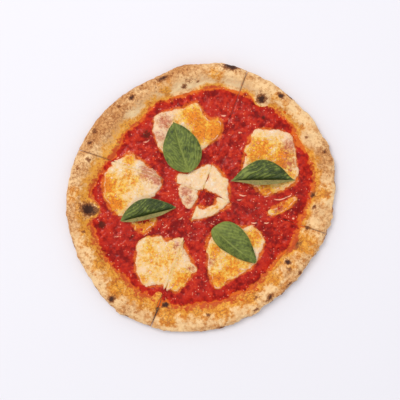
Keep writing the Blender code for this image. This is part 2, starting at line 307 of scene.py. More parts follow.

# Painted highlights on the sauce, short bright strands that stand in for the lamp's reflection: x,
# y, half length, half width in millimetres, heading of the length in degrees, and how bright.
SAUCE_PAINTED_GLINTS = (
    (45, -4, 4.5, 0.8, -12, 0.8),
    (42, -9, 3.5, 0.7, 8, 0.7),
    (72, -5, 3.5, 0.7, 20, 0.8),
    (87, -8, 8, 0.7, 6, 0.9),
    (97, -5, 4, 0.7, 24, 0.8),
    (58, -35, 3.6, 0.8, 2, 0.9),
    (72, -35, 3.0, 0.8, 4, 0.9),
    (102, -30, 1.4, 1.1, 0, 0.9),
    (66, -28, 3.0, 0.6, 20, 0.5),
    (24, 85, 3.4, 0.8, -3, 0.9),
    (42, 66, 1.4, 1.0, 0, 0.8),
    (44, 49, 2.2, 0.7, 50, 0.6),
    (7, 28, 2.0, 1.0, 30, 0.7),
    (-62, 56, 4.0, 0.8, 20, 0.7),
    (-82, 45, 2.0, 0.8, 40, 0.7),
    (-94, 38, 2.4, 0.8, 30, 0.7),
    (-95, -50, 4.2, 0.7, 8, 0.7),
    (-24, -30, 3.6, 0.7, 30, 0.7),
    (-41, -39, 3.4, 0.7, 40, 0.6),
    (-64, -48, 4.0, 0.6, 35, 0.6),
    (-13, -46, 2.2, 0.8, 10, 0.6),
    (4, -100, 2.4, 0.7, 20, 0.6),
    (30, -15, 3.0, 0.7, 15, 0.6),
    (12, -36, 3.0, 0.7, -15, 0.6),
)

# Golden, pink and toasted places on the mozzarella: x, y, radius in millimetres from the
# crossing, and strength.
GOLDEN_PLACES = (
    (16, 68, 17, 1.1),
    (-10, 84, 13, 1.0),
    (-3, 66, 12, 1.0),
    (-28, 72, 8, 0.4),
    (-105, 8, 11, 1.0),
    (-98, -14, 12, 1.0),
    (-80, 36, 8, 0.8),
    (-90, 4, 9, 0.55),
    (-74, 10, 12, 0.35),
    (66, 46, 17, 0.9),
    (88, 36, 14, 0.85),
    (94, 16, 12, 0.55),
    (72, 0, 13, 0.8),
    (54, 56, 8, 0.7),
    (-60, -62, 7, 0.6),
    (-66, -97, 8, 0.5),
    (-52, -80, 6, 0.4),
    (-20, -98, 12, 0.75),
    (-31, -106, 7, 0.6),
    (34, -82, 18, 0.62),
    (18, -98, 11, 1.0),
    (14, -66, 9, 0.7),
    (56, -52, 12, 0.7),
    (26, 22, 6, 0.3),
    (22, -18, 9, 0.2),
    (92, -17, 16, 1.1),
    (-64, -38, 14, 0.95),
    (-45, -76, 30, 0.32),
    (-88, 12, 22, 0.30),
)
PINK_PLACES = (
    (-60, 22, 11, 1.1),
    (-50, 14, 9, 1.0),
    (-42, 78, 10, 0.9),
    (-48, 62, 8, 0.75),
    (-18, 0, 9, 0.9),
    (-14, -10, 7, 0.8),
    (-14, -66, 9, 0.7),
    (-28, -60, 6, 0.8),
    (-12, -86, 6, 0.7),
    (10, -78, 6, 0.7),
    (98, 50, 10, 0.9),
    (98, 32, 9, 0.8),
    (86, -19, 7, 0.7),
)

# A basil leaf: stem end and tip in millimetres from the crossing, the blade's width on its left
# and right, how steeply each half leaves the midrib and how far it curls over, its arch, its
# sideways bend, and how gently the blade swells from the stem and tapers to the tip (small is
# blunt, large is slim).
Leaf = namedtuple("Leaf", "stem tip widths slopes curls arch bend swell taper")
LEAVES = {
    "basil_nw": Leaf((-14, 21), (-32, 77), (20.5, 22.5), (14, 12), (38, 34), 1.5, 1.5, 0.62, 0.90),
    "basil_ne": Leaf((32, 12), (103, 13), (23.5, 10), (30, 84), (58, 48), 2.0, 0.0, 1.20, 1.20),
    "basil_sw": Leaf((-90, -33), (-29, -18), (19, 8.5), (30, 80), (56, 46), 2.0, 0.0, 0.80, 0.95),
    "basil_se": Leaf((12, -41), (59, -79), (22, 11.5), (16, 12), (40, 60), 1.5, -2.0, 0.46, 0.80),
}
FOLD_SLOPE = 60
LEAF_BLUNT_END = 0.6 * MM
LEAF_THICKNESS = 0.45 * MM
LEAF_VEINS = 7.0
LEAF_VEIN_SWEEP = 0.75
LEAF_WAVE = 0.9 * MM
RIB_DEPTH = 0.5 * MM

# How a wet coat bends light, the fold in degrees that stays a sharp edge, and the distance
# that fills the width of a cut face's part of the crust's map.
WATER_IOR = 1.33
SHARP_ANGLE = 75
MAP_REACH = 160 * MM

# The stage, in metres. A light is (place, width and length, power in watts, colour).
TABLE_HALF = 3.0
TABLE_DROP = 0.2 * MM
SKY_COLOUR = (0.97, 0.98, 1.0, 1.0)
SKY_STRENGTH = 0.74
LIGHTS = {
    "window": ((-0.95, 0.85, 2.6), (1.2, 1.2), 33.0, (1.0, 0.985, 0.96)),
    "lamp": ((0.1, 0.5, 1.6), (0.35, 0.04), 1.5, (1.0, 0.99, 0.97)),
}
CAMERA_PLACE = (-1.3 * MM, -3.4 * MM)
LENS_MM = 85.0
SENSOR_MM = 36.0

Slice = namedtuple("Slice", "name start end shift cuts")
Ring = namedtuple("Ring", "edge sauce height toe crest belly")


def display(red, green, blue):
    """A colour given in display steps from 0 to 255, as linear light."""
    steps = (step / 255 for step in (red, green, blue))
    return tuple(((step + 0.055) / 1.055) ** 2.4 if step > 0.04045 else step / 12.92
                 for step in steps)


# ---------------------------------------------------------------- sizes and colours


def length(name, description, default):
    """A size that can be changed in the sidebar."""
    return bpy.props.FloatProperty(name=name, description=description, default=default,
                                   min=0.0, precision=5, unit="LENGTH")


def colour(name, description, default):
    """A colour that can be changed in the sidebar."""
    return bpy.props.FloatVectorProperty(name=name, description=description, default=default,
                                         size=3, min=0.0, max=1.0, subtype="COLOR")


class PizzaSizes(bpy.types.PropertyGroup):
    """How fine the meshes are, and how deep their relief."""

    crust_step: length("Crust step", "Size of a crust face", 0.9 * MM)
    sauce_step: length("Sauce step", "Size of a sauce face", 1.0 * MM)
    cheese_step: length("Mozzarella step", "Size of a mozzarella face", 1.0 * MM)
    leaf_step: length("Leaf step", "Size of a basil face", 0.6 * MM)
    rim_lumps: length("Rim lumps", "Height of the rim's broad lumps", 0.9 * MM)
    rim_blisters: length("Rim blisters", "Height of the small blisters", 1.1 * MM)
    rim_wrinkles: length("Rim wrinkles", "Height of the crust's wrinkles", 0.7 * MM)
    cut_press: length("Cut press", "How far the cutter pressed the edges down", 0.9 * MM)
    gash_depth: length("Gash depth", "How far the widest cut opens down", 4.5 * MM)
    sauce_swell: length("Sauce swell", "Height of the sauce's swells", 0.35 * MM)
    sauce_pulp: length("Sauce pulp", "Height of the tomato pulp", 0.65 * MM)
    cheese_lumps: length("Mozzarella lumps", "Height of the melted lumps", 0.8 * MM)
    leaf_pucker: length("Leaf pucker", "Swell of the blade between veins", 1.1 * MM)
    camera_height: length("Camera height", "Height of the camera over the table", 1.060)


class PizzaColours(bpy.types.PropertyGroup):
    """Colours of the foods and of the table."""

    dough_pale: colour("Pale dough", "Least baked dough", display(252, 210, 154))
    dough_golden: colour("Golden dough", "Evenly baked dough", display(221, 158, 96))
    dough_brown: colour("Browned dough", "Toasted speckles", display(160, 92, 46))
    dough_char: colour("Charred dough", "Burnt blisters", display(62, 36, 30))
    # Partly the inner slope's cream colour, partly painted light that lifts the slope's own shade.
    dough_cream_and_light: colour("Creamy dough", "The rim's pale inner slope", display(255, 230, 180))
    dough_oily: colour("Oily dough", "Dough soaked with oil", display(246, 170, 48))
    dough_scorched: colour("Scorched oil", "Oily dough browned by the oven", display(204, 108, 22))
    dough_stained: colour("Stained dough", "Dough stained by sauce", display(206, 84, 36))
    dough_crumb: colour("Crumb", "Inside of the dough at a cut", display(228, 196, 150))
    sauce_dark: colour("Dark sauce", "Deep parts of the sauce", display(128, 9, 6))
    sauce_red: colour("Red sauce", "Most of the sauce", display(188, 32, 14))
    sauce_bright: colour("Bright sauce", "Raised pulp", display(222, 70, 28))
    sauce_oily: colour("Oily sauce", "Sauce under a film of oil", display(230, 118, 36))
    # Painted highlights: tiny bright specks and strands that stand in for reflections on the sauce.
    sauce_painted_glint: colour("Painted highlights", "Tiny painted highlights on the sauce", display(252, 188, 154))
    sauce_fleck: colour("Dark flecks", "Scorched bits in the sauce", display(70, 30, 18))
    cheese_cream: colour("Cream mozzarella", "Cool, thick mozzarella", display(252, 214, 172))
    # Also used as a painted highlight on the rounded shoulder near each piece's edge.
    cheese_white_and_highlight: colour("White mozzarella", "Dry tops of the lumps", display(255, 240, 220))
    cheese_yellow: colour("Yellow mozzarella", "Buttery mozzarella", display(254, 204, 70))
    cheese_gold: colour("Golden mozzarella", "Oily, orange mozzarella", display(242, 135, 16))
    cheese_pink: colour("Pink mozzarella", "Thin mozzarella over sauce", display(208, 118, 86))
    cheese_toast: colour("Toasted mozzarella", "Browned spots", display(166, 68, 26))
    cheese_seam: colour("Cut mozzarella", "Edge left by the cutter", display(216, 178, 84))
    basil_green: colour("Basil", "The blade", display(98, 112, 42))
    # Painted shade: dark green shown in the grooves beside the veins and along a leaf's fold.
    basil_deep_and_shade: colour("Deep basil", "Folds of the blade", display(44, 58, 20))
    # Painted light on the puckered tops; it also makes the stem end and margin paler.
    basil_pale_and_lit: colour("Light basil", "Puckered tops", display(136, 146, 66))
    basil_vein: colour("Basil veins", "Veins and midrib", display(158, 166, 86))
    basil_back: colour("Basil back", "Underside of a leaf", display(140, 148, 88))
    # Painted light on the steep, folded half of a leaf.
    basil_lit_flap: colour("Basil flap", "Pale folded edge of a leaf", display(168, 144, 88))
    table: colour("Table", "Floor of the stage", display(238, 236, 242))


# ---------------------------------------------------------------- random relief


def scatter(cells, seed):
    """A repeatable number from 0 to 1 for each whole-number cell."""
    mixed = np.full(cells.shape[:-1], seed + 1, dtype=np.uint64)
    for axis in range(3):
        mixed ^= cells[..., axis].astype(np.int64).astype(np.uint64)
        mixed *= np.uint64(0x9E3779B97F4A7C15)
        mixed ^= mixed >> np.uint64(29)
        mixed *= np.uint64(0xBF58476D1CE4E5B9)
        mixed ^= mixed >> np.uint64(32)
    return (mixed >> np.uint64(40)).astype(float) / (1 << 24)


def swells(points, size, seed, octaves=1):
    """Smooth random heights from -1 to 1, in swells about size across."""
    total = np.zeros(points.shape[:-1])
    weight = 0.0
    for octave in range(octaves):
        spots = points * (2.03 ** octave / size) + 17.3 * octave
        cells = np.floor(spots).astype(np.int64)
        part = spots - cells
        part = part * part * part * (part * (part * 6 - 15) + 10)
        height = np.zeros(points.shape[:-1])
        for corner in itertools.product((0, 1), repeat=3):
            share = np.prod(np.where(corner, part, 1 - part), axis=-1)
            height += share * scatter(cells + corner, seed + 101 * octave)
        total += (2 * height - 1) * 0.5 ** octave
        weight += 0.5 ** octave
    return total / weight * 1.6


def domes(points, size, seed, share):
    """Round swellings, 0 to 1 high, in a share of the cells that are size across."""
    spots = points / size
    cells = np.floor(spots).astype(np.int64)
    height = np.zeros(points.shape[:-1])
    for offset in itertools.product((-1, 0, 1), repeat=3):
        near = cells + offset
        middle = near + 0.5 + 0.8 * (np.stack(
            [scatter(near, seed + axis) for axis in (1, 2, 3)], axis=-1) - 0.5)
        reach = 0.30 + 0.35 * scatter(near, seed + 4)
        gap = np.linalg.norm(spots - middle, axis=-1) / reach
        dome = np.sqrt(np.clip(1 - gap * gap, 0, 1)) * (scatter(near, seed) < share)
        height = np.maximum(height, dome * (0.5 + 0.5 * scatter(near, seed + 5)))
    return height


def fade(value, low, high):
    """0 below low, 1 above high, and smooth between them."""
    part = np.clip((value - low) / (high - low), 0, 1)
    return part * part * (3 - 2 * part)


def near_spot(points, x, y, size):
    """How near points are to a round spot in millimetres: 1 at its middle, 0 well past it."""
    gap = np.linalg.norm(points[..., :2] - CROSSING - np.array((x, y)) * MM, axis=-1)
    return np.exp(-(gap / (size * MM)) ** 2)


def places(points, spots):
    """How strongly points lie in round places given in millimetres, from 0 to 1."""
    mask = np.zeros(points.shape[:-1])
    for x, y, size, strength in spots:
        mask = np.maximum(mask, strength * near_spot(points, x, y, size))
    return mask


def strands(points, spots):
    """How strongly points lie in short flat strands, from 0 to 1."""
    mask = np.zeros(points.shape[:-1])
    flat = points[..., :2] - CROSSING
    for x, y, half_length, half_width, turn, strength in spots:
        offset = flat - np.array((x, y)) * MM
        along = offset @ heading(math.radians(turn)) / (half_length * MM)
        bow = 0.25 * half_length * MM * (along ** 2 - 0.5)
        across = (offset @ heading(math.radians(turn + 90)) - bow) / (half_width * MM)
        mask = np.maximum(mask, strength * np.exp(-(along ** 4 + across ** 2)))
    return mask


def mounds(points, spots):
    """Sum of round mounds at points: x, y, radius and height in millimetres."""
    total = np.zeros(points.shape[:-1])
    for x, y, size, most in spots:
        total += most * MM * near_spot(points, x, y, size)
    return total


# ---------------------------------------------------------------- shape of the pizza


def waves(mean, terms, angle):
    """A size that swells and dips round the pizza."""
    return mean + sum(size * np.cos(lobes * (angle - math.radians(crest)))
                      for lobes, size, crest in terms)


def heading(angle):
    """Flat unit vectors at angles in radians."""
    return np.stack([np.cos(angle), np.sin(angle)], axis=-1)


def make_slices():
    """The four quarters, each drawn in from its cuts by half of what they gape."""
    slices = {}
    for place, name in enumerate(SLICE_NAMES):
        first, first_gape = CUTS[place]
        last, last_gape = CUTS[(place + 1) % len(CUTS)]
        start = math.radians(first)
        end = math.radians(last)
        if end < start:
            end += math.tau
        cuts = (start, end)
        shift = heading((start + end) / 2) * SLICE_SHIFT
        start += first_gape / 2 / EDGE_RADIUS
        end -= last_gape / 2 / EDGE_RADIUS
        slices[name] = Slice(name, start, end, shift, cuts)
    return slices


def ring_at(angle):
    """The rim's sizes at some headings."""
    edge = waves(EDGE_RADIUS, EDGE_WAVES, angle)
    sauce = waves(SAUCE_RADIUS, SAUCE_WAVES, angle)
    height = waves(RIM_HEIGHT, RIM_HEIGHT_WAVES, angle)
    width = edge - sauce
    return Ring(edge, sauce, height, edge - TOE_SHARE * width, edge - CREST_SHARE * width,
                BELLY_SHARE * height)


def blister_rise(distance, angle, ring):
    """How far the blisters lift the crust, fading to nothing at the sauce."""
    spot = heading(angle) * distance[..., None]
    rise = np.zeros(distance.shape)
    for blister_angle, reach, size, height in BLISTERS:
        centre = heading(math.radians(blister_angle)) * reach
        rise += height * np.exp(-(np.linalg.norm(spot - centre, axis=-1) / size) ** 2)
    return rise * np.clip((distance - ring.sauce) / BLISTER_RUN_OUT, 0, 1)


def crust_level(distance, angle, ring):
    """Height of the base and of the rim's inner slope."""
    climb = np.clip((distance - ring.toe) / (ring.crest - ring.toe), 0, 1)
    rise = (ring.height - BASE_THICKNESS) * (1 - np.cos(math.pi * climb)) / 2
    return BASE_THICKNESS + rise + blister_rise(distance, angle, ring)


def find_crossing():
    """Where the cuts cross: the outline's box, seen from above, has the frame box's middle."""
    corners = []
    for piece in make_slices().values():
        angle = np.linspace(piece.start, piece.end, 33)
        edge = waves(EDGE_RADIUS, EDGE_WAVES, angle)
        corners.append(heading(angle) * edge[:, None] + piece.shift)
    corners = np.concatenate(corners)
    middle = (corners.min(axis=0) + corners.max(axis=0)) / 2
    return (CAD_LOW[:2] + CAD_HIGH[:2]) / 2 - middle


CROSSING = find_crossing()
SLICES = make_slices()


def lay_out(piece, angle, distance):
    """Flat points of a slice, at headings and distances from where the cuts cross."""
    return heading(angle[:, 0])[:, None, :] * distance[..., None] + piece.shift + CROSSING


def raised(flat, level):
    """Flat points given their heights, or one height for all of them."""
    level = np.broadcast_to(level, flat.shape[:-1])
    return np.concatenate([flat, level[..., None]], axis=-1)


def normals_of(grid):
    """Unit normals of a grid of points, from its rows and columns."""
    along = np.gradient(grid, axis=0)
    across = np.gradient(grid, axis=1)
    normal = np.cross(across, along)
    return normal / np.maximum(np.linalg.norm(normal, axis=-1, keepdims=True), 1e-12)


def cut_gap(points, piece):
    """Distance of points inside their slice from its nearer cut face."""
    flat = points[..., :2] - CROSSING - piece.shift
    first = flat @ heading(piece.start + math.pi / 2)
    last = flat @ heading(piece.end - math.pi / 2)
    return np.clip(np.minimum(first, last), 0, None)


def close_cut(points, piece, share, soft, inset=0.0):
    """Draw points beside the cuts towards the knife's line, by a share of how far off they are.

    The inset is how far the points' own edge stands off the slice's cut face.
    """
    flat = points[..., :2] - CROSSING
    own = flat - piece.shift
    for knife, side, turn in zip(piece.cuts, (piece.start, piece.end), (math.pi / 2, -math.pi / 2)):
        inward = heading(knife + turn)
        gap = flat @ inward
        near = np.clip(own @ heading(side + turn) - inset, 0, None)
        ahead = flat @ heading(knife) > 0
        draw = share * np.clip(gap - near - LEAST_CUT / 2, 0, None) * np.exp(-near / soft) * ahead
        points[..., :2] -= inward * draw[..., None]
    return points


# ---------------------------------------------------------------- meshes


def grid_faces(rows, columns, first=0):
    """Quads of a grid of points that are numbered row by row."""
    corner = first + np.arange(rows - 1)[:, None] * columns + np.arange(columns - 1)
    return np.stack([corner, corner + 1, corner + columns + 1, corner + columns],
                    axis=-1).reshape(-1, 4)


def make_mesh(name, points, faces, marks, flat_map, parts):
    """A smooth mesh from lists of faces, with its marks, its map and a material for each list."""
    mesh = bpy.data.meshes.new(name)
    corners = np.concatenate([np.ravel(group) for faces_of in faces for group in faces_of])
    sizes = np.concatenate([[len(face) for face in faces_of] for faces_of in faces])
    starts = np.concatenate([[0], np.cumsum(sizes)[:-1]])
    mesh.vertices.add(len(points))
    mesh.vertices.foreach_set("co", points.astype(np.float32).ravel())
    mesh.loops.add(len(corners))
    mesh.loops.foreach_set("vertex_index", corners.astype(np.int32))
    mesh.polygons.add(len(sizes))
    mesh.polygons.foreach_set("loop_start", starts.astype(np.int32))
    material_of = np.concatenate([np.full(len(faces_of), part)
                                  for faces_of, part in zip(faces, parts)])
    mesh.polygons.foreach_set("material_index", material_of.astype(np.int32))
    mesh.update(calc_edges=True)
    for label, values in marks.items():
        mark = mesh.attributes.new(label, "FLOAT", "POINT")
        mark.data.foreach_set("value", values.astype(np.float32))
    layer = mesh.uv_layers.new(name="OFBake")
    spots = flat_map(corners)
    layer.uv.foreach_set("vector", spots.astype(np.float32).ravel())
    mesh.shade_smooth()
    mesh.set_sharp_from_angle(angle=math.radians(SHARP_ANGLE))
    return mesh


def map_from_above(points, corners, low, span, shown):
    """A map of corners seen from above, with the hidden ones, past shown, in a strip of it."""
    spots = (points[corners, :2] - low) / span
    spots[shown:, 0] = 0.95 + 0.05 * spots[shown:, 0]
    return np.clip(spots, 0, 1)


def place_piece(name, mesh, node, materials):
    """Show a finished mesh in place of its construction node."""
    piece = bpy.data.objects.new(name, mesh)
    bpy.context.scene.collection.objects.link(piece)
    for material in materials:
        mesh.materials.append(material)
    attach(piece, "root")
    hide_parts(node)
    return piece


def keep_in_frame(points):
    """Points held inside the frame's box."""
    return np.clip(points, CAD_LOW, CAD_HIGH)


# ---------------------------------------------------------------- shader building


class Value:
    """A number socket that Python's operators build on."""

    def __init__(self, surface, socket):
        self.surface = surface
        self.socket = socket

    def __add__(self, other):
        return self.surface.maths("ADD", self, other)

    __radd__ = __add__

    def __sub__(self, other):
        return self.surface.maths("SUBTRACT", self, other)

    def __rsub__(self, other):
        return self.surface.maths("SUBTRACT", other, self)

    def __mul__(self, other):
        return self.surface.maths("MULTIPLY", self, other)

    __rmul__ = __mul__

    def step(self, low, high):
        """0 at low, 1 at high, and smooth between them."""
        node = self.surface.node("ShaderNodeMapRange", {"interpolation_type": "SMOOTHSTEP"},
                                 {0: self, 1: low, 2: high, 3: 0.0, 4: 1.0})
        return Value(self.surface, node.outputs[0])


class Surface:
    """A node material under construction."""

    def __init__(self, name):
        self.material = bpy.data.materials.new(name)
        self.material.use_nodes = True
        self.tree = self.material.node_tree
        self.shader = self.tree.nodes["Principled BSDF"]
        self.place = self.node("ShaderNodeTexCoord").outputs["Object"]

    def node(self, kind, settings=None, sockets=None):
        """A node of a kind, with its settings made before its sockets are filled."""
        made = self.tree.nodes.new(kind)
        for key, setting in (settings or {}).items():
            setattr(made, key, setting)
        for key, given in (sockets or {}).items():
            self.fill(made.inputs[key], given)
        return made

    def fill(self, socket, given):
        """Link or set one socket."""
        given = getattr(given, "socket", given)
        if isinstance(given, bpy.types.NodeSocket):
            self.tree.links.new(given, socket)
        elif socket.type == "RGBA":
            socket.default_value = (*given[:3], 1.0)
        else:
            socket.default_value = given

    def maths(self, operation, *terms):
        """A Math node on numbers."""
        node = self.node("ShaderNodeMath", {"operation": operation}, dict(enumerate(terms)))
        return Value(self, node.outputs[0])

    def moved(self, step):
        """The place on the surface, moved so that a pattern differs from another's."""
        node = self.node("ShaderNodeVectorMath", {"operation": "ADD"},
                         {0: self.place, 1: (step, step * 0.7, -step)})
        return node.outputs[0]

    def noise(self, size, detail=2.0, roughness=0.5, step=0.0):
        """Soft random patches of about a size, mostly from 0.3 to 0.7."""
        node = self.node("ShaderNodeTexNoise", None, {
            "Vector": self.moved(step), "Scale": 1 / size, "Detail": detail,
            "Roughness": roughness})
        return Value(self, node.outputs[0])

    def patches(self, size, detail=2.0, roughness=0.5, step=0.0):
        """Noise stretched so that it fills the range from 0 to 1."""
        return self.noise(size, detail, roughness, step).step(0.34, 0.66)

    def cells(self, size, step=0.0):
        """Distance from the middle of cells of a size, and a random number for each cell."""
        node = self.node("ShaderNodeTexVoronoi", None, {
            "Vector": self.moved(step), "Scale": 1 / size})
        split = self.node("ShaderNodeSeparateColor", None, {0: node.outputs["Color"]})
        return Value(self, node.outputs["Distance"]), Value(self, split.outputs[0])

    def creases(self, size, width, step=0.0):
        """Thin curved lines, about a size apart."""
        level = self.maths("ABSOLUTE", self.noise(size, 2.0, 0.5, step) - 0.5)
        return 1 - level.step(0.0, width)

    def marks(self, *names):
        """The marks that the mesh carries."""
        nodes = [self.node("ShaderNodeAttribute", {"attribute_name": name}) for name in names]
        return [Value(self, node.outputs["Fac"]) for node in nodes]

    def paint(self, colour, *layers):
        """A colour with others laid over it in turn, each by its own mask."""
        for layer, mask in layers:
            node = self.node("ShaderNodeMix", {"data_type": "RGBA"},
                             {0: mask, 6: colour, 7: layer})
            colour = node.outputs[2]
        return colour

    def relief(self, height, distance, strength=1.0):
        """Fine relief on top of the mesh's own."""
        node = self.node("ShaderNodeBump", None, {
            "Height": height, "Distance": distance, "Strength": strength})
        self.tree.links.new(node.outputs[0], self.shader.inputs["Normal"])

    def soften(self, weight, reach, scale):
        """Let light pass a little way under the surface."""
        self.shader.inputs["Subsurface Weight"].default_value = weight
        self.shader.inputs["Subsurface Radius"].default_value = reach
        self.shader.inputs["Subsurface Scale"].default_value = scale

    def polish(self, roughness):
        """Make the wet coat smooth."""
        self.shader.inputs["Coat Roughness"].default_value = roughness
        self.shader.inputs["Coat IOR"].default_value = WATER_IOR

    def finish(self, **sockets):
        """Fill the shader's sockets, and give back the material."""
        for key, given in sockets.items():
            name = key.replace("_", " ").title().replace("Ior", "IOR")
            self.fill(self.shader.inputs[name], given)
        return self.material


def crust_material(colours):
    """Baked dough: pale and golden patches, toasted speckles, burnt spots, oily stains, and painted
    light and shade.
    """
    surface = Surface("Baked dough")
    broad = surface.patches(22 * MM)
    patchy = surface.patches(8 * MM, 3.0, 0.6, 0.31)
    speckled = surface.patches(3.0 * MM, 3.0, 0.65, 0.57)
    grain = surface.patches(1.0 * MM, 2.0, 0.6, 0.83)
    dots, chance = surface.cells(5.0 * MM, 0.11)
    pits, pit_chance = surface.cells(3.4 * MM, 0.91)
    crease = surface.creases(9 * MM, 0.035, 0.41)
    toast, char, stain, golden = surface.marks("toast", "char", "stain", "golden")
    under, seam, flank, cream = surface.marks("under", "seam", "flank", "cream")

    baked = (broad * 0.30 + patchy * 0.30 + speckled * 0.25 + toast * 0.45 - 0.15).step(0.10, 0.85)
    speckle = (speckled * 0.50 + grain * 0.35 + toast * 0.40 + patchy * 0.15).step(0.68, 1.26)
    freckle = (0.36 - dots + (grain - 0.5) * 0.16).step(0.04, 0.24) * chance.step(0.50, 0.75)
    freckle = freckle * (toast * 0.6 + patchy * 0.5 + 0.1).step(0.25, 0.70)
    lined = crease * (toast * 0.8 + patchy * 0.4 + flank * 0.3).step(0.35, 0.95)
    # Cream on the inner slope: partly the dough's pale colour, partly painted light lifting its
    # shade on one side.
    creamy_and_lit = (cream + (patchy - 0.5) * 0.5 + (speckled - 0.5) * 0.25).step(0.25, 0.85)

    spilt = surface.maths("MAXIMUM", stain * 1.05, golden * 0.95)
    soaked = (spilt + (patchy - 0.5) * 0.45 + (speckled - 0.5) * 0.25).step(0.12, 0.72)
    deep = patchy * 0.45 + speckled * 0.45 + grain * 0.35 + golden * 0.15 - cream * 0.3
    pit = (0.34 - pits + (grain - 0.5) * 0.16).step(0.04, 0.22) * pit_chance.step(0.45, 0.70)
    pit = surface.maths("MAXIMUM", pit * 0.85, crease * golden * 0.8)
    oily = surface.paint(colours.dough_oily,
                         (colours.dough_scorched, deep.step(0.45, 1.12) * 0.9),
                         (colours.dough_brown, pit))

    red = (stain + (speckled - 0.5) * 0.28 + (patchy - 0.5) * 0.2).step(0.74, 1.10)
    ragged = char + (speckled - 0.5) * 0.26 + (grain - 0.5) * 0.18
    burnt = ragged.step(0.34, 0.76)
    # Steep flanks darker: partly the dough's browning, partly painted shade along the outer edge.
    browned_and_shaded = (flank * 0.8 + (patchy - 0.5) * 0.4 + (speckled - 0.5) * 0.4).step(0.35, 1.0)

    leopard = (patchy * 0.6 + speckled * 0.4).step(0.30, 0.75)
    scorched = (patchy * 0.6 + grain * 0.2 + broad * 0.35).step(0.66, 1.0)
    sole = surface.paint(colours.dough_golden,
                         (colours.dough_brown, leopard),
                         (colours.dough_char, scorched * 0.85))
    dough = surface.paint(colours.dough_pale,
                          (colours.dough_golden, baked),
                          (colours.dough_brown, speckle * 0.75),
                          (colours.dough_brown, freckle * 0.8),
                          (colours.dough_brown, lined * 0.6),
                          (colours.dough_cream_and_light, creamy_and_lit * 0.8),
                          (oily, soaked * 0.92),
                          (colours.dough_stained, red),
                          (colours.dough_brown, ragged.step(0.14, 0.40) * 0.9),
                          (colours.dough_char, burnt * 0.95),
                          # Painted shade of the cut's gap: the dough is darker along the cuts.
                          (colours.dough_brown, seam * 0.6),
                          (colours.dough_brown, browned_and_shaded * 0.75),
                          (sole, under))

    rough = 0.72 - soaked * 0.20 + burnt * 0.08 + (grain - 0.5) * 0.1
    surface.relief(speckled * 0.5 + grain * 0.3 - freckle * 0.2 - lined * 0.4 + burnt * 0.2,
                   0.8 * MM, 0.9)
    return surface.finish(base_color=dough, roughness=rough, specular_ior_level=0.25)


def crumb_material(colours):
    """The open crumb inside the dough, with painted shade in its holes."""
    surface = Surface("Crumb")
    soft = surface.noise(3 * MM, 3.0, 0.6)
    holes, chance = surface.cells(3.2 * MM)
    # The holes are painted darker, as the shade inside them.
    hole = (0.45 - holes).step(0.05, 0.25) * chance.step(0.35, 0.55)
    crumb = surface.paint(colours.dough_crumb,
                          (colours.dough_golden, soft.step(0.4, 0.7)),
                          (colours.dough_brown, hole * 0.6))
    surface.relief(soft * 0.4 - hole, 1.2 * MM, 0.8)
    return surface.finish(base_color=crumb, roughness=0.85)


def sauce_material(colours):
    """Wet tomato sauce: dark hollows, bright pulp, oily films, a few scorched flecks and painted
    highlights.
    """
    surface = Surface("Tomato sauce")
    broad = surface.patches(24 * MM, 2.0, 0.5, 0.21)
    patchy = surface.patches(7 * MM, 3.0, 0.6, 0.43)
    pulp = surface.patches(2.6 * MM, 3.0, 0.65, 0.65)
    grain = surface.patches(0.9 * MM, 2.0, 0.6, 0.87)
    # Cells for tiny painted highlights, specks that stand in for reflections.
    drops, speck_chance = surface.cells(2.8 * MM, 0.33)
    high, oil, fleck, painted_glint, bank = surface.marks("high", "oil", "fleck", "painted_glint", "bank")

    depth = high * 0.65 + pulp * 0.20 + patchy * 0.25 + broad * 0.2
    bright = (high * 0.50 + pulp * 0.25 + patchy * 0.20 + grain * 0.15).step(0.58, 1.0)
    oily = (oil * 1.1 + (patchy - 0.5) * 0.35 + (pulp - 0.5) * 0.25).step(0.30, 0.95)
    ragged = (fleck + (pulp - 0.5) * 0.35 + (grain - 0.5) * 0.2).step(0.34, 0.70)
    # Painted highlights in tiny bright specks.
    drop = (0.23 - drops).step(0.0, 0.10) * (speck_chance * 0.6 + patchy * 0.5).step(0.54, 0.80)
    # Painted highlights along the listed strands.
    painted_shine = (painted_glint + (grain - 0.5) * 0.3).step(0.25, 0.75)
    sauce = surface.paint(colours.sauce_dark,
                          (colours.sauce_red, depth.step(0.30, 0.80)),
                          (colours.sauce_bright, bright * 0.8),
                          (colours.sauce_oily, oily * 0.8),
                          (colours.sauce_fleck, ragged * 0.85),
                          (colours.sauce_painted_glint, surface.maths("MAXIMUM", drop * 0.85, painted_shine)))

    rough = 0.42 - oily * 0.08 + (patchy - 0.5) * 0.1 + ragged * 0.2
    surface.relief(pulp * 0.5 + grain * 0.3, 0.6 * MM, 0.7)
    wet = (patchy * 0.6 + broad * 0.4 - ragged * 0.5 - oily * 0.4 - bank).step(0.0, 0.7) * 0.4
    surface.polish(0.06)
    return surface.finish(base_color=sauce, roughness=rough, specular_ior_level=0.12,
                          coat_weight=wet)


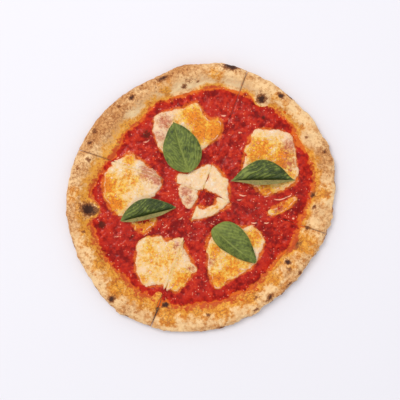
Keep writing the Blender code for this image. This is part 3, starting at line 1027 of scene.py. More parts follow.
def cheese_material(colours):
    """Melted mozzarella, cream where thick and orange where the oil came out, with a painted
    highlight at its edge.
    """
    surface = Surface("Melted mozzarella")
    patchy = surface.patches(8 * MM, 3.0, 0.6, 0.13)
    mottled = surface.patches(3.0 * MM, 3.0, 0.65, 0.37)
    fine = surface.patches(1.9 * MM, 3.0, 0.7, 0.97)
    grain = surface.patches(1.1 * MM, 2.0, 0.6, 0.59)
    dots, chance = surface.cells(4.2 * MM, 0.71)
    golden, pink, rim, high, seam = surface.marks("golden", "pink", "rim", "high", "seam")

    low = 1 - high
    butter = golden * 0.75 + patchy * 0.20 + mottled * 0.22 + low * 0.15
    oily = golden * 0.60 + patchy * 0.20 + mottled * 0.35 + grain * 0.12 + low * 0.25 + rim * 0.2
    dry = (high * 0.50 + mottled * 0.45 + grain * 0.25 - golden * 0.20).step(0.59, 0.86)
    thin = (pink * 0.7 + mottled * 0.35 + grain * 0.15 + low * 0.15).step(0.50, 1.0)
    scorched = (fine * 0.60 + grain * 0.20 + low * 0.20).step(0.52, 0.82)
    scorched = scorched * (golden * 0.5 + pink * 0.6 + patchy * 0.45 - 0.1).step(0.05, 0.75)
    spot = (0.36 - dots + (grain - 0.5) * 0.16).step(0.06, 0.24) * chance.step(0.55, 0.80)
    spot = spot * (golden * 0.5 + pink * 0.7 + mottled * 0.3).step(0.25, 0.80)
    crackle = surface.creases(6 * MM, 0.05, 0.77) * (golden * 0.7 + pink * 0.8 + 0.15)
    edge = (rim * 0.9 + (mottled - 0.5) * 0.6 + (patchy - 0.5) * 0.5).step(0.40, 1.1)
    # Painted highlight: a white ring on the rounded shoulder just inside the edge.
    lip = rim.step(0.15, 0.45) * (1 - rim.step(0.60, 0.90)) * (mottled * 0.5 + patchy * 0.5)
    melt = (rim + (mottled - 0.5) * 0.5).step(0.85, 1.2)
    cheese = surface.paint(colours.cheese_cream,
                           (colours.cheese_yellow, butter.step(0.22, 0.70)),
                           (colours.cheese_gold, oily.step(0.60, 1.02) * 0.95),
                           (colours.cheese_white_and_highlight, dry * 0.9),
                           (colours.cheese_pink, thin * 0.85),
                           (colours.cheese_toast, scorched * 0.5),
                           (colours.cheese_toast, spot * 0.75),
                           (colours.cheese_toast, crackle * (mottled * 0.5 + 0.1)),
                           (colours.cheese_gold, edge * 0.55),
                           (colours.cheese_white_and_highlight, lip.step(0.3, 0.8) * 0.5),
                           (colours.dough_stained, melt * 0.8),
                           (colours.cheese_seam, seam * 0.3))

    rough = 0.45 - golden * 0.08 + (mottled - 0.5) * 0.1
    surface.relief(mottled * 0.5 + grain * 0.4 - spot * 0.2 - scorched * 0.2, 0.9 * MM, 0.85)
    surface.soften(0.10, (1.0, 0.6, 0.3), 2 * MM)
    return surface.finish(base_color=cheese, roughness=rough, specular_ior_level=0.3)


def basil_material(colours):
    """A fresh leaf: green blade with painted light and shade, paler veins and midrib, and a pale
    back.
    """
    surface = Surface("Basil leaf")
    patchy = surface.patches(9 * MM, 2.0, 0.5, 0.19)
    mottled = surface.patches(2.2 * MM, 3.0, 0.6, 0.47)
    quilt, _ = surface.cells(1.6 * MM, 0.29)
    pucker, vein, pale, back = surface.marks("pucker", "vein", "pale", "back")
    valley, flap, dark = surface.marks("valley", "flap", "dark")

    # Painted light and shade: lighter puckers between the veins, darker grooves beside them, and on
    # a folded leaf a darker lying half next to the fold.
    shade = pucker * (0.38 + dark * 0.42) + patchy * 0.20 + mottled * 0.25 - dark * 0.65
    lit = shade + mottled * 0.15 + quilt * 0.15 + dark * 0.1
    leaf = surface.paint(colours.basil_deep_and_shade,
                         (colours.basil_green, (shade + 0.15).step(0.10, 0.75)),
                         (colours.basil_pale_and_lit, lit.step(0.45, 1.05) * 0.75),
                         (colours.basil_vein, vein * 0.6),
                         (colours.basil_pale_and_lit, pale * 0.8),
                         # Painted shadow in the fold's valley.
                         (colours.basil_deep_and_shade, valley * 0.9),
                         # Painted light on the steep folded half.
                         (colours.basil_lit_flap, flap * (mottled * 0.4 + 0.35)),
                         (colours.basil_back, back))

    rough = 0.50 + (mottled - 0.5) * 0.1 + back * 0.15
    surface.relief(mottled * 0.3 + quilt * 0.5 - vein * 0.4, 0.7 * MM, 0.8)
    surface.soften(0.05, (0.6, 1.0, 0.2), 1 * MM)
    return surface.finish(base_color=leaf, roughness=rough, specular_ior_level=0.3)


# ---------------------------------------------------------------- crust


def burn_marks(points):
    """How burnt points of the crust are, from 0 to 1, round spots on its upper side."""
    mask = np.zeros(points.shape[:-1])
    flat = points[..., :2] - CROSSING
    for x, y, half_length, half_width, turn, strength in CHAR_SPOTS:
        offset = flat - np.array((x, y)) * MM
        away = np.linalg.norm(offset, axis=-1)
        if away.min() > SPOT_REACH:
            continue
        middle = np.argmin(away - 0.05 * points[..., 2])
        drop = (points[..., 2] - points[..., 2].flat[middle]) / (1.6 * half_width * MM)
        along = offset @ heading(math.radians(turn)) / (half_length * MM)
        across = offset @ heading(math.radians(turn + 90)) / (half_width * MM)
        mask = np.maximum(mask, strength * np.exp(-(along ** 2 + across ** 2 + drop ** 2)))
    return mask


def dough_relief(points, sizes):
    """Lumps, blisters and wrinkles of baked dough, and where the blisters are."""
    blister = domes(points, 9 * MM, 11, 0.35)
    small = domes(points, 4.5 * MM, 23, 0.30)
    broad = swells(points, 24 * MM, 31)
    flat = points[..., :2] - CROSSING
    rough = waves(1.0, WRINKLE_WAVES, np.arctan2(flat[..., 1], flat[..., 0]))
    wrinkle = rough * (swells(points, 4.6 * MM, 41, 3) + 0.8 * swells(points, 10 * MM, 47))
    relief = (sizes.rim_lumps * (broad - 0.1) + sizes.rim_blisters * (0.8 * blister - 0.2)
              + 0.4 * sizes.rim_blisters * (small - 0.1) + sizes.rim_wrinkles * wrinkle)
    return relief, np.clip(0.35 + 0.5 * blister + 0.3 * small + 0.35 * broad, 0, 1)


def rim_share(distance, ring):
    """How far points have left the flat base for the rim, from 0 to 1."""
    return fade(distance, ring.toe, ring.sauce + 4 * MM)


def crust_grid(piece, step):
    """Distances and heights over a slice, from the hidden base up over the rim and under it."""
    columns = int((piece.end - piece.start) * EDGE_RADIUS / step)
    angle = np.linspace(piece.start, piece.end, columns)[:, None]
    ring = ring_at(angle)
    inner = ring.toe - SOFT_TOE
    slope = np.linspace(0, 1, int(SLOPE_RUN / step))[None, :]
    slope_distance = inner + (ring.crest - inner) * slope
    slope_level = crust_level(slope_distance, angle, ring)
    turn = math.pi / 2 - np.linspace(0, math.pi, int(BULGE_RUN / step))[None, 1:]
    across = np.abs(np.cos(turn)) ** (2 / RIM_SQUARENESS)
    up = np.sign(turn) * np.abs(np.sin(turn)) ** (2 / RIM_SQUARENESS)
    bulge_distance = ring.crest + (ring.edge - ring.crest) * across
    lift = np.clip(up, 0, 1) * blister_rise(bulge_distance, angle, ring)
    over = ring.belly + (ring.height - ring.belly) * up + lift
    bulge_level = np.where(turn > 0, over, ring.belly * (1 + up))
    distance = np.concatenate([inner * np.array(BASE_SHARES), slope_distance, bulge_distance,
                               ring.toe * np.array(SOLE_SHARES)], axis=1)
    level = np.concatenate([np.full((columns, len(BASE_SHARES)), BASE_THICKNESS), slope_level,
                            bulge_level, np.zeros((columns, len(SOLE_SHARES)))], axis=1)
    return angle, ring, distance, np.maximum(level, 0)


def make_crust(piece, sizes, materials):
    """One slice of baked dough, closed at its cut faces."""
    angle, ring, distance, level = crust_grid(piece, sizes.crust_step)
    points = raised(lay_out(piece, angle, distance), level)
    normal = normals_of(points)
    baked = rim_share(distance, ring) * fade(level, 0.3 * MM, 3.5 * MM)
    relief, toast = dough_relief(points, sizes)
    points = points + normal * (relief * baked)[..., None]
    points[..., 2] += mounds(points, EDGE_BUBBLES) * (normal[..., 2] > 0)
    near = cut_gap(points, piece)
    gash = places(points, GASHES)
    press = (sizes.cut_press * np.exp(-(near / PRESS_WIDTH) ** 2)
             + sizes.gash_depth * gash * np.exp(-(near / GASH_WIDTH) ** 2))
    points[..., 2] -= press * baked * np.clip(normal[..., 2], 0, 1)
    points = keep_in_frame(close_cut(points, piece, 0.6 * (1 - gash), 2 * MM))

    rows, columns = distance.shape
    reach = waves(OIL_REACH, OIL_REACH_WAVES, angle)
    spilt = distance - ring.sauce + 2 * mounds(points, SAUCE_BAYS)
    inner = np.clip((ring.crest + 2 * MM - distance) / (ring.crest - ring.sauce), 0, 1)
    on_top = fade(normal[..., 2], 0.05, 0.4)
    bare = fade(level, SAUCE_TOP, 8 * MM)
    exposed = fade(level, 0.35 * ring.height, 0.95 * ring.height)
    brown = waves(0.04, BROWNING_WAVES, angle)
    marks = {
        "stain": np.clip(1.1 - spilt / reach, 0, 1.2) * on_top,
        "golden": places(points, CRUST_PATCHES) * on_top,
        # The inner slope's cream: partly its colour, partly painted light, strongest on one side of
        # the pizza.
        "cream": inner * bare * np.clip(waves(0.5, SLOPE_CREAM_AND_LIGHT_WAVES, angle), 0, 1),
        "toast": (toast * exposed + brown).clip(0, 1),
        "char": np.maximum(burn_marks(points), 0.6 * gash * np.exp(-near / (2 * MM))),
        # Painted shade along the cuts, where the gap between slices falls dark.
        "seam": np.exp(-near / (0.7 * MM)) * baked,
        # Steep sides, where the dough is darkened partly by its browning and partly as painted
        # shade.
        "flank": (1 - fade(normal[..., 2], 0.0, 0.55)) * baked,
        "under": fade(-normal[..., 2], 0.55, 0.9) * fade(-level, -2.5 * MM, -0.8 * MM),
    }
    tips = np.array([(*(CROSSING + piece.shift), tip) for tip in (BASE_THICKNESS, 0.0)])
    everything = np.concatenate([points.reshape(-1, 3), tips])
    marks = {name: np.append(values.ravel(), (1.0, 0.0)) for name, values in marks.items()}
    marks["under"][-1] = 1.0
    top_tip = rows * columns
    column = np.arange(rows - 1) * columns
    top_fan = np.stack([column, column + columns, np.full(rows - 1, top_tip)], axis=-1)
    sole_fan = np.stack([column + columns, column, np.full(rows - 1, top_tip + 1)], axis=-1)
    sole_fan[:, :2] += columns - 1
    first_cut = np.concatenate([[top_tip + 1], np.arange(columns)[::-1], [top_tip]])
    last_cut = np.concatenate([[top_tip], top_tip - columns + np.arange(columns), [top_tip + 1]])
    faces = [grid_faces(rows, columns), top_fan, sole_fan, [first_cut, last_cut]]
    run = np.concatenate([[0], np.cumsum(np.linalg.norm(
        np.diff(points[rows // 2], axis=0), axis=-1))])

    def flat_map(corners):
        """Unroll the slice into the square, with the cut faces in a strip of their own."""
        row, place = np.divmod(np.minimum(corners, top_tip - 1), columns)
        spots = np.stack([row / (rows - 1), 0.02 + 0.84 * run[place] / run[-1]], axis=-1)
        spots[corners == top_tip] = (0.5, 0.0)
        spots[corners == top_tip + 1] = (0.5, 0.88)
        cut_count = 2 * (columns + 2)
        ends = everything[corners[-cut_count:]]
        out = np.linalg.norm(ends[:, :2] - CROSSING, axis=-1) / (2 * MAP_REACH)
        side = np.repeat((0.0, 0.5), columns + 2)
        spots[-cut_count:] = np.stack([side + out * 0.98, 0.90 + ends[:, 2] * 5], axis=-1)
        return np.clip(spots, 0, 1)

    name = "crust_" + piece.name
    mesh = make_mesh(name + "_baked", everything, faces, marks, flat_map, (0, 0, 0, 1))
    return place_piece(name + "_baked", mesh, name, materials)


# ---------------------------------------------------------------- sauce


def oily_places(points):
    """Where oil from the mozzarella runs into the sauce."""
    mask = np.zeros(points.shape[:-1])
    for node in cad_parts:
        if node.startswith("mozzarella"):
            outline = cheese_outline(node)
            gap = gap_to(points[..., :2].reshape(-1, 2), outline).reshape(mask.shape)
            mask = np.maximum(mask, np.exp(-(gap / OIL_RUN) ** 1.5))
    return mask


def make_sauce(piece, sizes, material):
    """One slice of the sauce, sinking into the crust at its ragged edge."""
    rows = int((piece.end - piece.start) * SAUCE_RADIUS / sizes.sauce_step)
    columns = int(SAUCE_RADIUS / sizes.sauce_step)
    angle = np.linspace(piece.start, piece.end, rows)[:, None]
    ring = ring_at(angle)
    share = np.linspace(0, 1, columns + 1)[None, 1:] ** 0.85
    distance = (ring.sauce + SAUCE_RUN_OVER) * share
    bed = crust_level(distance, angle, ring)
    points = raised(lay_out(piece, angle, distance), bed)
    dough, _ = dough_relief(points, sizes)
    ragged = SAUCE_RAGGED * swells(points, 12 * MM, 53, 2)
    ragged += SAUCE_JAGGED * swells(points, 3.5 * MM, 57, 2)
    inward = ring.sauce + ragged - distance - mounds(points, SAUCE_BAYS)
    inward -= 3 * MM * burn_marks(points)
    full = 1 - np.exp(-np.clip(inward, 0, None) / SAUCE_SOFT_EDGE)
    swell = swells(points, 13 * MM, 61, 2)
    pulp = swells(points, 3.6 * MM, 71, 3)
    seeds = domes(points, 5.5 * MM, 83, 0.25)
    relief = sizes.sauce_swell * swell + sizes.sauce_pulp * (pulp * 0.7 + seeds * 0.6 - 0.2)
    rise = (CLEARANCE + SAUCE_THICKNESS) * full + 0.6 * np.clip(inward, None, 0)
    rise += relief * np.clip(inward / (5 * MM), 0.2, 1) + dough * rim_share(distance, ring) * 0.8
    near = cut_gap(points, piece)
    bridged = fade(swells(points, 14 * MM, 97, 2) + (0.75 - distance / ring.sauce) * 3, -0.6, 0.2)
    rise -= (0.8 - 0.75 * bridged) * MM * np.exp(-(near / (0.9 * MM)) ** 2)
    points[..., 2] = np.maximum(bed + np.maximum(rise, -SAUCE_DIP), SAUCE_FLOOR + 0.1 * MM)
    points = keep_in_frame(close_cut(points, piece, 0.5 + 0.5 * bridged, 0.8 * MM))

    edge_oil = fade(-inward, -5 * MM, 0.5 * MM)
    marks = {
        "high": np.clip(0.5 + 0.5 * (0.6 * pulp + 0.4 * swell)
                        + waves(0.0, SAUCE_LIGHT_WAVES, angle), 0, 1),
        "oil": np.maximum(oily_places(points) * 0.75, edge_oil * 0.85),
        "bank": fade(-inward, -9 * MM, -3 * MM),
        "fleck": places(points, SAUCE_FLECKS),
        "painted_glint": strands(points, SAUCE_PAINTED_GLINTS),
    }
    hidden = ring.toe + (distance[:, -1:] - ring.toe) * np.linspace(0, 1, SKIRT_RINGS)
    depth = np.maximum(crust_level(hidden, angle, ring) - SKIRT_DROP, SAUCE_FLOOR)
    skirt = raised(lay_out(piece, angle, hidden), depth)
    tips = np.array([(*(CROSSING + piece.shift), tip) for tip in (SAUCE_TOP, SAUCE_FLOOR)])
    everything = np.concatenate([points.reshape(-1, 3), skirt.reshape(-1, 3), tips])
    count = rows * columns
    extra = len(everything) - count
    marks = {name: np.append(values.ravel(), np.full(extra, values.mean()))
             for name, values in marks.items()}
    step = np.arange(rows - 1)
    top_tip = len(everything) - 2
    top_fan = np.stack([step * columns, (step + 1) * columns, np.full(rows - 1, top_tip)], -1)
    out = step * columns + columns - 1
    below = count + step * SKIRT_RINGS
    far = below + SKIRT_RINGS - 1
    wall = np.stack([out, far, far + SKIRT_RINGS, out + columns], -1)
    bed_fan = np.stack([below, np.full(rows - 1, top_tip + 1), below + SKIRT_RINGS], -1)
    rings = np.arange(SKIRT_RINGS)
    first_cut = np.concatenate([[top_tip + 1], count + rings, np.arange(columns)[::-1],
                                [top_tip]])
    last_cut = np.concatenate([[top_tip], count - columns + np.arange(columns),
                               top_tip - 1 - rings, [top_tip + 1]])
    faces = [grid_faces(rows, columns), top_fan, wall,
             grid_faces(rows, SKIRT_RINGS, count)[:, ::-1], bed_fan, [first_cut, last_cut]]
    low = everything[:count, :2].min(axis=0)
    span = (everything[:count, :2].max(axis=0) - low) / (0.94, 0.99)
    shown = len(faces[0]) * 4 + len(faces[1]) * 3

    def flat_map(corners):
        return map_from_above(everything, corners, low, span, shown)

    name = "sauce_" + piece.name
    mesh = make_mesh(name + "_spread", everything, faces, marks, flat_map, (0,) * len(faces))
    return place_piece(name + "_spread", mesh, name, [material])


# ---------------------------------------------------------------- mozzarella


def cheese_outline(node):
    """The closed outline of a mozzarella node's flat underside."""
    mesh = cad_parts[node].data
    spots = np.array([vert.co for vert in mesh.vertices])
    keys = [tuple(key) for key in np.round(spots / (0.01 * MM)).astype(int)]
    floor = spots[:, 2].min()
    sides = {}
    for face in mesh.polygons:
        corners = list(face.vertices)
        if max(spots[corner, 2] for corner in corners) < floor + 0.02 * MM:
            for here, after in zip(corners, corners[1:] + corners[:1]):
                sides[keys[here], keys[after]] = here
    border = {here: (after, place) for (here, after), place in sides.items()
              if (after, here) not in sides}
    start = min(border)
    outline = []
    key = start
    while True:
        key, place = border[key]
        outline.append(spots[place, :2])
        if key == start:
            break
    outline = np.array(outline)
    x, y = outline.T
    area = np.sum(x * np.roll(y, -1) - y * np.roll(x, -1))
    return outline if area > 0 else outline[::-1]


def gap_to(points, outline):
    """Distance from each point to a closed outline."""
    least = np.full(len(points), 1.0)
    for here, after in zip(outline, np.roll(outline, -1, axis=0)):
        side = after - here
        share = np.clip((points - here) @ side / (side @ side), 0, 1)
        gap = np.linalg.norm(points - here - share[:, None] * side, axis=-1)
        least = np.minimum(least, gap)
    return least


def is_inside(points, outline):
    """Which points lie within a closed outline."""
    inside = np.zeros(len(points), bool)
    x, y = points.T
    for here, after in zip(outline, np.roll(outline, -1, axis=0)):
        if here[1] == after[1]:
            continue
        crosses = (here[1] > y) != (after[1] > y)
        at = here[0] + (y - here[1]) * (after[0] - here[0]) / (after[1] - here[1])
        inside ^= crosses & (x < at)
    return inside


def refine(outline, step, piece):
    """The outline in short steps, smooth and a little ragged away from the cuts."""
    spots = []
    count = len(outline)
    for place in range(count):
        before, here, after, beyond = (outline[(place + near) % count] for near in (-1, 0, 1, 2))
        parts = max(1, round(np.linalg.norm(after - here) / step))
        t = (np.arange(parts) / parts)[:, None]
        straight = here + (after - here) * t
        curved = 0.5 * (2 * here + (after - before) * t
                        + (2 * before - 5 * here + 4 * after - beyond) * t ** 2
                        + (3 * here - before - 3 * after + beyond) * t ** 3)
        cut = cut_gap(np.array([here, after]), piece).max() < 0.3 * MM
        spots.append(straight if cut else curved)
    spots = np.concatenate(spots)
    side = np.roll(spots, -1, axis=0) - np.roll(spots, 1, axis=0)
    outward = np.stack([side[:, 1], -side[:, 0]], axis=-1)
    outward /= np.linalg.norm(outward, axis=-1, keepdims=True)
    deep = raised(spots, 0.0)
    wobble = CHEESE_RAGGED * swells(deep, 9 * MM, 5, 2) + CHEESE_JAGGED * swells(deep, 3.2 * MM, 9)
    free = fade(cut_gap(deep, piece), 0.4 * MM, 3 * MM)
    return spots + outward * (wobble * free)[:, None]


def make_cheese(node, sizes, material):
    """One melted piece of mozzarella, sunk a little into the sauce."""
    piece = SLICES[node[-2:]]
    step = sizes.cheese_step
    low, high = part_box(node)
    rough_outline = cheese_outline(node)
    outline = refine(rough_outline, step, piece)
    corner = outline.min(axis=0)
    size = outline.max(axis=0) - corner
    across = np.arange(int(size[0] / step) + 1)
    upward = np.arange(int(size[1] / (step * ROW_SHARE)) + 1)
    column, row = (axis.ravel() for axis in np.meshgrid(across, upward))
    grid = np.stack([(column + 0.5 * (row % 2)) * step, row * step * ROW_SHARE], axis=-1)
    grid += corner
    grid = grid[is_inside(grid, outline)]
    grid = grid[gap_to(grid, outline) > 0.55 * step]
    spots = [Vector(spot) for spot in np.concatenate([outline, grid])]
    border = [list(range(len(outline)))]
    flat, _, triangles, _, _, _ = delaunay_2d_cdt(spots, [], border, 1, 1e-7)
    flat = np.array(flat)
    triangles = np.array(triangles)

    thickness = high.z - low.z
    deep = raised(flat, low.z)
    inward = gap_to(flat, outline)
    beside_cut = cut_gap(deep, piece)
    rounding = min(CHEESE_ROUNDING, 0.35 * min(size))
    swell = np.sin(np.clip(inward / rounding, 0, 1) * math.pi / 2) ** 0.9
    cut_swell = 0.93 + 0.07 * np.clip(inward / (1.5 * MM), 0, 1)
    swell = np.where(beside_cut < rounding, np.maximum(swell, cut_swell * fade(
        inward - beside_cut, -1.5 * MM, -0.2 * MM)), swell)
    lumps = (swells(deep, 9 * MM, 3, 2) * 0.8 + swells(deep, 3.2 * MM, 7, 2) * 0.45
             + domes(deep, 6 * MM, 19, 0.4) * 0.7 - 0.45)
    top = low.z - 0.1 * MM + (thickness - 0.3 * MM) * swell
    top += sizes.cheese_lumps * lumps * (0.35 + 0.65 * swell)
    points = raised(flat, top)
    count = len(outline)
    everything = np.concatenate([points, raised(flat[:count], low.z - CHEESE_SINK)])
    bridged = fade(swells(everything, 11 * MM, 29, 2), -0.7, 0.0)
    inset = beside_cut.min()
    if inset < 1 * MM:
        share = 0.85 + 0.15 * bridged
        everything = close_cut(everything, piece, share, 0.8 * MM, inset)
    everything = keep_in_frame(everything)
    ring = np.arange(count)
    after = (ring + 1) % count
    wall = np.stack([ring, ring + len(points), after + len(points), after], axis=-1)
    below = [(ring + len(points))[::-1]]
    marks = {
        "golden": places(points, GOLDEN_PLACES),
        "pink": places(points, PINK_PLACES),
        "rim": (1 - fade(inward, 0, 3.5 * MM)) * fade(beside_cut, 0.5 * MM, 2 * MM),
        "seam": np.exp(-beside_cut / (1.0 * MM)),
        "high": np.clip(0.5 + 0.4 * lumps, 0, 1),
    }
    marks = {name: np.append(values, values[:count]) for name, values in marks.items()}
    margin = 2 * MM
    span = (size + 2 * margin) / (0.93, 1.0)

    def flat_map(corners):
        return map_from_above(everything, corners, corner - margin, span, 3 * len(triangles))

    faces = [triangles, wall, below]
    mesh = make_mesh(node + "_melted", everything, faces, marks, flat_map, (0, 0, 0))
    return place_piece(node + "_melted", mesh, node, [material])


# ---------------------------------------------------------------- basil


def leaf_breadth(share, leaf):
    """Breadth of a leaf along its length, from 0 at the ends to 1 at its widest."""
    widest = leaf.swell / (leaf.swell + leaf.taper)
    most = widest ** leaf.swell * (1 - widest) ** leaf.taper
    return share ** leaf.swell * (1 - share) ** leaf.taper / most


def leaf_sheet(leaf, share, out):
    """Middle surface of a leaf: share runs from stem to tip, out from -1 to 1 across it."""
    stem = np.array(leaf.stem) * MM
    tip = np.array(leaf.tip) * MM
    along = (tip - stem) / np.linalg.norm(tip - stem)
    left = np.array((-along[1], along[0]))
    points = []
    for half, side in ((0, 1), (1, -1)):
        breadth = np.maximum(LEAF_BLUNT_END, leaf.widths[half] * MM * leaf_breadth(share, leaf))
        slope = math.radians(leaf.slopes[half])
        curl = math.radians(leaf.curls[half])
        away = np.abs(out)
        reach = breadth * (math.sin(slope) - np.sin(slope - curl * away)) / curl
        rise = breadth * (np.cos(slope - curl * away) - math.cos(slope)) / curl
        swing = np.sin(math.pi * share)
        midrib = stem + (tip - stem) * share[..., None] + left * (leaf.bend * MM * swing)[..., None]
        flat = midrib + left * side * reach[..., None]
        points.append(raised(flat, rise + leaf.arch * MM * swing))
    return np.where(out[..., None] >= 0, points[0], points[1])


def make_leaf(name, leaf, sizes, material):
    """A basil leaf with its veins, puckered between them."""
    span = np.linalg.norm(np.array(leaf.tip) - leaf.stem) * MM
    rows = int(span / sizes.leaf_step)
    columns = 2 * int(max(leaf.widths) * MM / sizes.leaf_step) + 1
    share, out = np.meshgrid(np.linspace(0, 1, rows), np.linspace(-1, 1, columns), indexing="ij")
    sheet = leaf_sheet(leaf, share, out)
    normal = normals_of(sheet)
    normal *= np.where(normal[..., 2:].mean() < 0, -1, 1)
    away = np.abs(out)
    wide = leaf_breadth(share, leaf)
    phase = (share - LEAF_VEIN_SWEEP * away ** 1.2 * wide) * LEAF_VEINS + 0.45 * (out < 0)
    phase += 0.35 * swells(sheet, 12 * MM, 4)
    between = np.abs(np.sin(math.pi * phase))
    pucker = between ** 0.7 * np.sin(math.pi * np.clip(away * 1.05, 0, 1)) ** 0.6
    pucker *= 0.75 + 0.35 * swells(sheet, 7 * MM, 2)
    lift = sizes.leaf_pucker * (pucker - 0.35) * wide
    lift += LEAF_WAVE * swells(sheet, 16 * MM, 6) * away
    rib = np.exp(-(away * np.array(leaf.widths).mean() / 1.1) ** 2)
    lift -= RIB_DEPTH * rib * wide
    gap = np.abs((phase + 0.5) % 1 - 0.5)
    vein = np.exp(-(gap / 0.07) ** 2) * (1 - 0.6 * away)
    uneven = 0.64 + 0.3 * np.sin(math.pi * away) + 0.5 * swells(sheet, 8 * MM, 12, 2)
    pucker_light_and_shade = between * uneven + 0.3 * swells(sheet, 3 * MM, 8)
    sheet = sheet + normal * lift[..., None]

    folded = float(leaf.slopes[1] > FOLD_SLOPE)
    low, high = (np.array(corner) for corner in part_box(name))
    over = sheet + normal * LEAF_THICKNESS / 2
    under = sheet - normal * LEAF_THICKNESS / 2
    both = np.concatenate([over.reshape(-1, 3), under.reshape(-1, 3)])
    middle = (both.min(axis=0) + both.max(axis=0)) / 2
    move = (low + high) / 2 - middle
    move[2] = low[2] - both[:, 2].min()
    both = keep_in_frame(both + move)
    back = np.concatenate([np.zeros(over.shape[:2]).ravel(), np.ones(over.shape[:2]).ravel()])
    marks = {
        # Painted light and shade of the puckers: light between the veins, dark beside them.
        "pucker": np.tile(pucker_light_and_shade.ravel(), 2),
        "vein": np.tile(np.maximum(vein * wide ** 0.5, rib).ravel(), 2),
        "pale": np.tile((np.exp(-share * 9) + 0.5 * fade(away, 0.94, 1.0)).ravel(), 2),
        "back": back,
        # Painted shade on a folded leaf's lying half, darkest next to the fold.
        "dark": np.tile((folded * (out >= 0) * (1 - 0.5 * away)).ravel(), 2),
        # Painted shadow along the fold of a folded leaf.
        "valley": np.tile((np.exp(-(away * 4.5) ** 2) * (out >= 0) * folded).ravel(), 2),
        # Painted light on a folded leaf's steep half.
        "flap": np.tile(((out < 0) * fade(away, 0.05, 0.2) * folded).ravel(), 2),
    }
    count = rows * columns
    border = np.concatenate([np.arange(columns), np.arange(1, rows) * columns + columns - 1,
                             count - 1 - np.arange(1, columns),
                             np.arange(rows - 2, 0, -1) * columns])
    after = np.roll(border, -1)
    rim = np.stack([border, border + count, after + count, after], axis=-1)
    faces = [grid_faces(rows, columns)[:, ::-1], grid_faces(rows, columns, count), rim[:, ::-1]]
    upper_corners = 4 * len(faces[0])
    lower_corners = 2 * upper_corners

    def flat_map(corners):
        """Top and back of the leaf side by side, with its edge in a strip."""
        row, column = np.divmod(corners % count, columns)
        spots = np.stack([row / (rows - 1), 0.48 * column / (columns - 1)], axis=-1)
        spots[upper_corners:, 1] += 0.49
        spots[lower_corners:, 1] = 0.98 + 0.02 * (corners[lower_corners:] >= count)
        return np.clip(spots, 0, 1)

    mesh = make_mesh(name + "_fresh", both, faces, marks, flat_map, (0, 0, 0))
    return place_piece(name + "_fresh", mesh, name, [material])


# ---------------------------------------------------------------- operators


class PIZZA_OT_crust(bpy.types.Operator):
    """Bake the four slices of dough"""

    bl_idname = "pizza.crust"
    bl_label = "Crust"

    def execute(self, context):
        colours = context.scene.pizza_colours
        materials = [crust_material(colours), crumb_material(colours)]
        for piece in SLICES.values():
            make_crust(piece, context.scene.pizza_sizes, materials)
        return {"FINISHED"}


class PIZZA_OT_sauce(bpy.types.Operator):
    """Spread the tomato sauce over the four slices"""

    bl_idname = "pizza.sauce"
    bl_label = "Tomato sauce"

    def execute(self, context):
        material = sauce_material(context.scene.pizza_colours)
        for piece in SLICES.values():
            make_sauce(piece, context.scene.pizza_sizes, material)
        return {"FINISHED"}


class PIZZA_OT_mozzarella(bpy.types.Operator):
    """Melt every piece of mozzarella"""

    bl_idname = "pizza.mozzarella"
    bl_label = "Mozzarella"

    def execute(self, context):
        material = cheese_material(context.scene.pizza_colours)
        for node in sorted(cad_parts):
            if node.startswith("mozzarella"):
                make_cheese(node, context.scene.pizza_sizes, material)
        return {"FINISHED"}


class PIZZA_OT_basil(bpy.types.Operator):
    """Lay the basil leaves"""

    bl_idname = "pizza.basil"
    bl_label = "Basil"

    def execute(self, context):
        material = basil_material(context.scene.pizza_colours)
        for name, leaf in LEAVES.items():
            make_leaf(name, leaf, context.scene.pizza_sizes, material)
        return {"FINISHED"}


def add_light(name, place, size, power, tint):
    """A soft rectangular light that faces the pizza."""
    lamp = bpy.data.lights.new(name, "AREA")
    lamp.shape = "RECTANGLE"
    lamp.size, lamp.size_y = size
    lamp.energy = power
    lamp.color = tint
    light = bpy.data.objects.new(name, lamp)
    light.location = place
    light.rotation_euler = (-Vector(place)).to_track_quat("-Z", "Y").to_euler()
    bpy.context.scene.collection.objects.link(light)


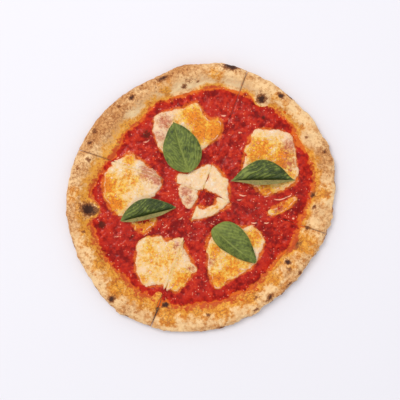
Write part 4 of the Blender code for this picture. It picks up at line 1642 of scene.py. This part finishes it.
class PIZZA_OT_stage(bpy.types.Operator):
    """Set the table, the light and the camera"""

    bl_idname = "pizza.stage"
    bl_label = "Stage"

    def execute(self, context):
        scene = context.scene
        surface = Surface("Table")
        table = scene.pizza_colours.table
        dim = tuple(0.97 * part for part in table)
        shade = surface.paint(table, (dim, surface.noise(0.4)))
        floor = bpy.data.meshes.new("table")
        corners = [(x * TABLE_HALF, y * TABLE_HALF, CAD_LOW[2] - TABLE_DROP)
                   for x, y in ((-1, -1), (1, -1), (1, 1), (-1, 1))]
        floor.from_pydata(corners, [], [(0, 1, 2, 3)])
        floor.materials.append(
            surface.finish(base_color=shade, roughness=0.9, specular_ior_level=0.1))
        ground = bpy.data.objects.new("table", floor)
        scene.collection.objects.link(ground)
        ground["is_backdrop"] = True

        world = bpy.data.worlds.new("Soft room")
        world.use_nodes = True
        sky = world.node_tree.nodes["Background"]
        sky.inputs["Color"].default_value = SKY_COLOUR
        sky.inputs["Strength"].default_value = SKY_STRENGTH
        scene.world = world
        for name, light in LIGHTS.items():
            add_light(name, *light)

        lens = bpy.data.cameras.new("camera")
        lens.lens = LENS_MM
        lens.sensor_width = SENSOR_MM
        camera = bpy.data.objects.new("camera", lens)
        camera.location = (*CAMERA_PLACE, scene.pizza_sizes.camera_height)
        scene.collection.objects.link(camera)
        scene.camera = camera
        scene.view_settings.view_transform = "Standard"
        return {"FINISHED"}


OPERATORS = (PIZZA_OT_crust, PIZZA_OT_sauce, PIZZA_OT_mozzarella, PIZZA_OT_basil,
             PIZZA_OT_stage)


class PIZZA_PT_panel(bpy.types.Panel):
    """The pizza's pieces, sizes and colours"""

    bl_label = "Pizza"
    bl_idname = "PIZZA_PT_panel"
    bl_space_type = "VIEW_3D"
    bl_region_type = "UI"
    bl_category = "Pizza"

    def draw(self, context):
        for operator in OPERATORS:
            self.layout.operator(operator.bl_idname)
        for group in (context.scene.pizza_sizes, context.scene.pizza_colours):
            box = self.layout.box()
            for name in group.bl_rna.properties.keys():
                if name not in {"rna_type", "name"}:
                    box.prop(group, name)


CLASSES = (PizzaSizes, PizzaColours, *OPERATORS, PIZZA_PT_panel)


def register():
    """Add the pizza's classes and settings."""
    for cls in CLASSES:
        bpy.utils.register_class(cls)
    bpy.types.Scene.pizza_sizes = bpy.props.PointerProperty(type=PizzaSizes)
    bpy.types.Scene.pizza_colours = bpy.props.PointerProperty(type=PizzaColours)


def unregister():
    """Remove the pizza's classes and settings."""
    del bpy.types.Scene.pizza_colours
    del bpy.types.Scene.pizza_sizes
    for cls in reversed(CLASSES):
        bpy.utils.unregister_class(cls)


def main():
    """Build every piece and the stage."""
    register()
    bpy.ops.pizza.crust()
    bpy.ops.pizza.sauce()
    bpy.ops.pizza.mozzarella()
    bpy.ops.pizza.basil()
    bpy.ops.pizza.stage()


if __name__ == "__main__":
    main()
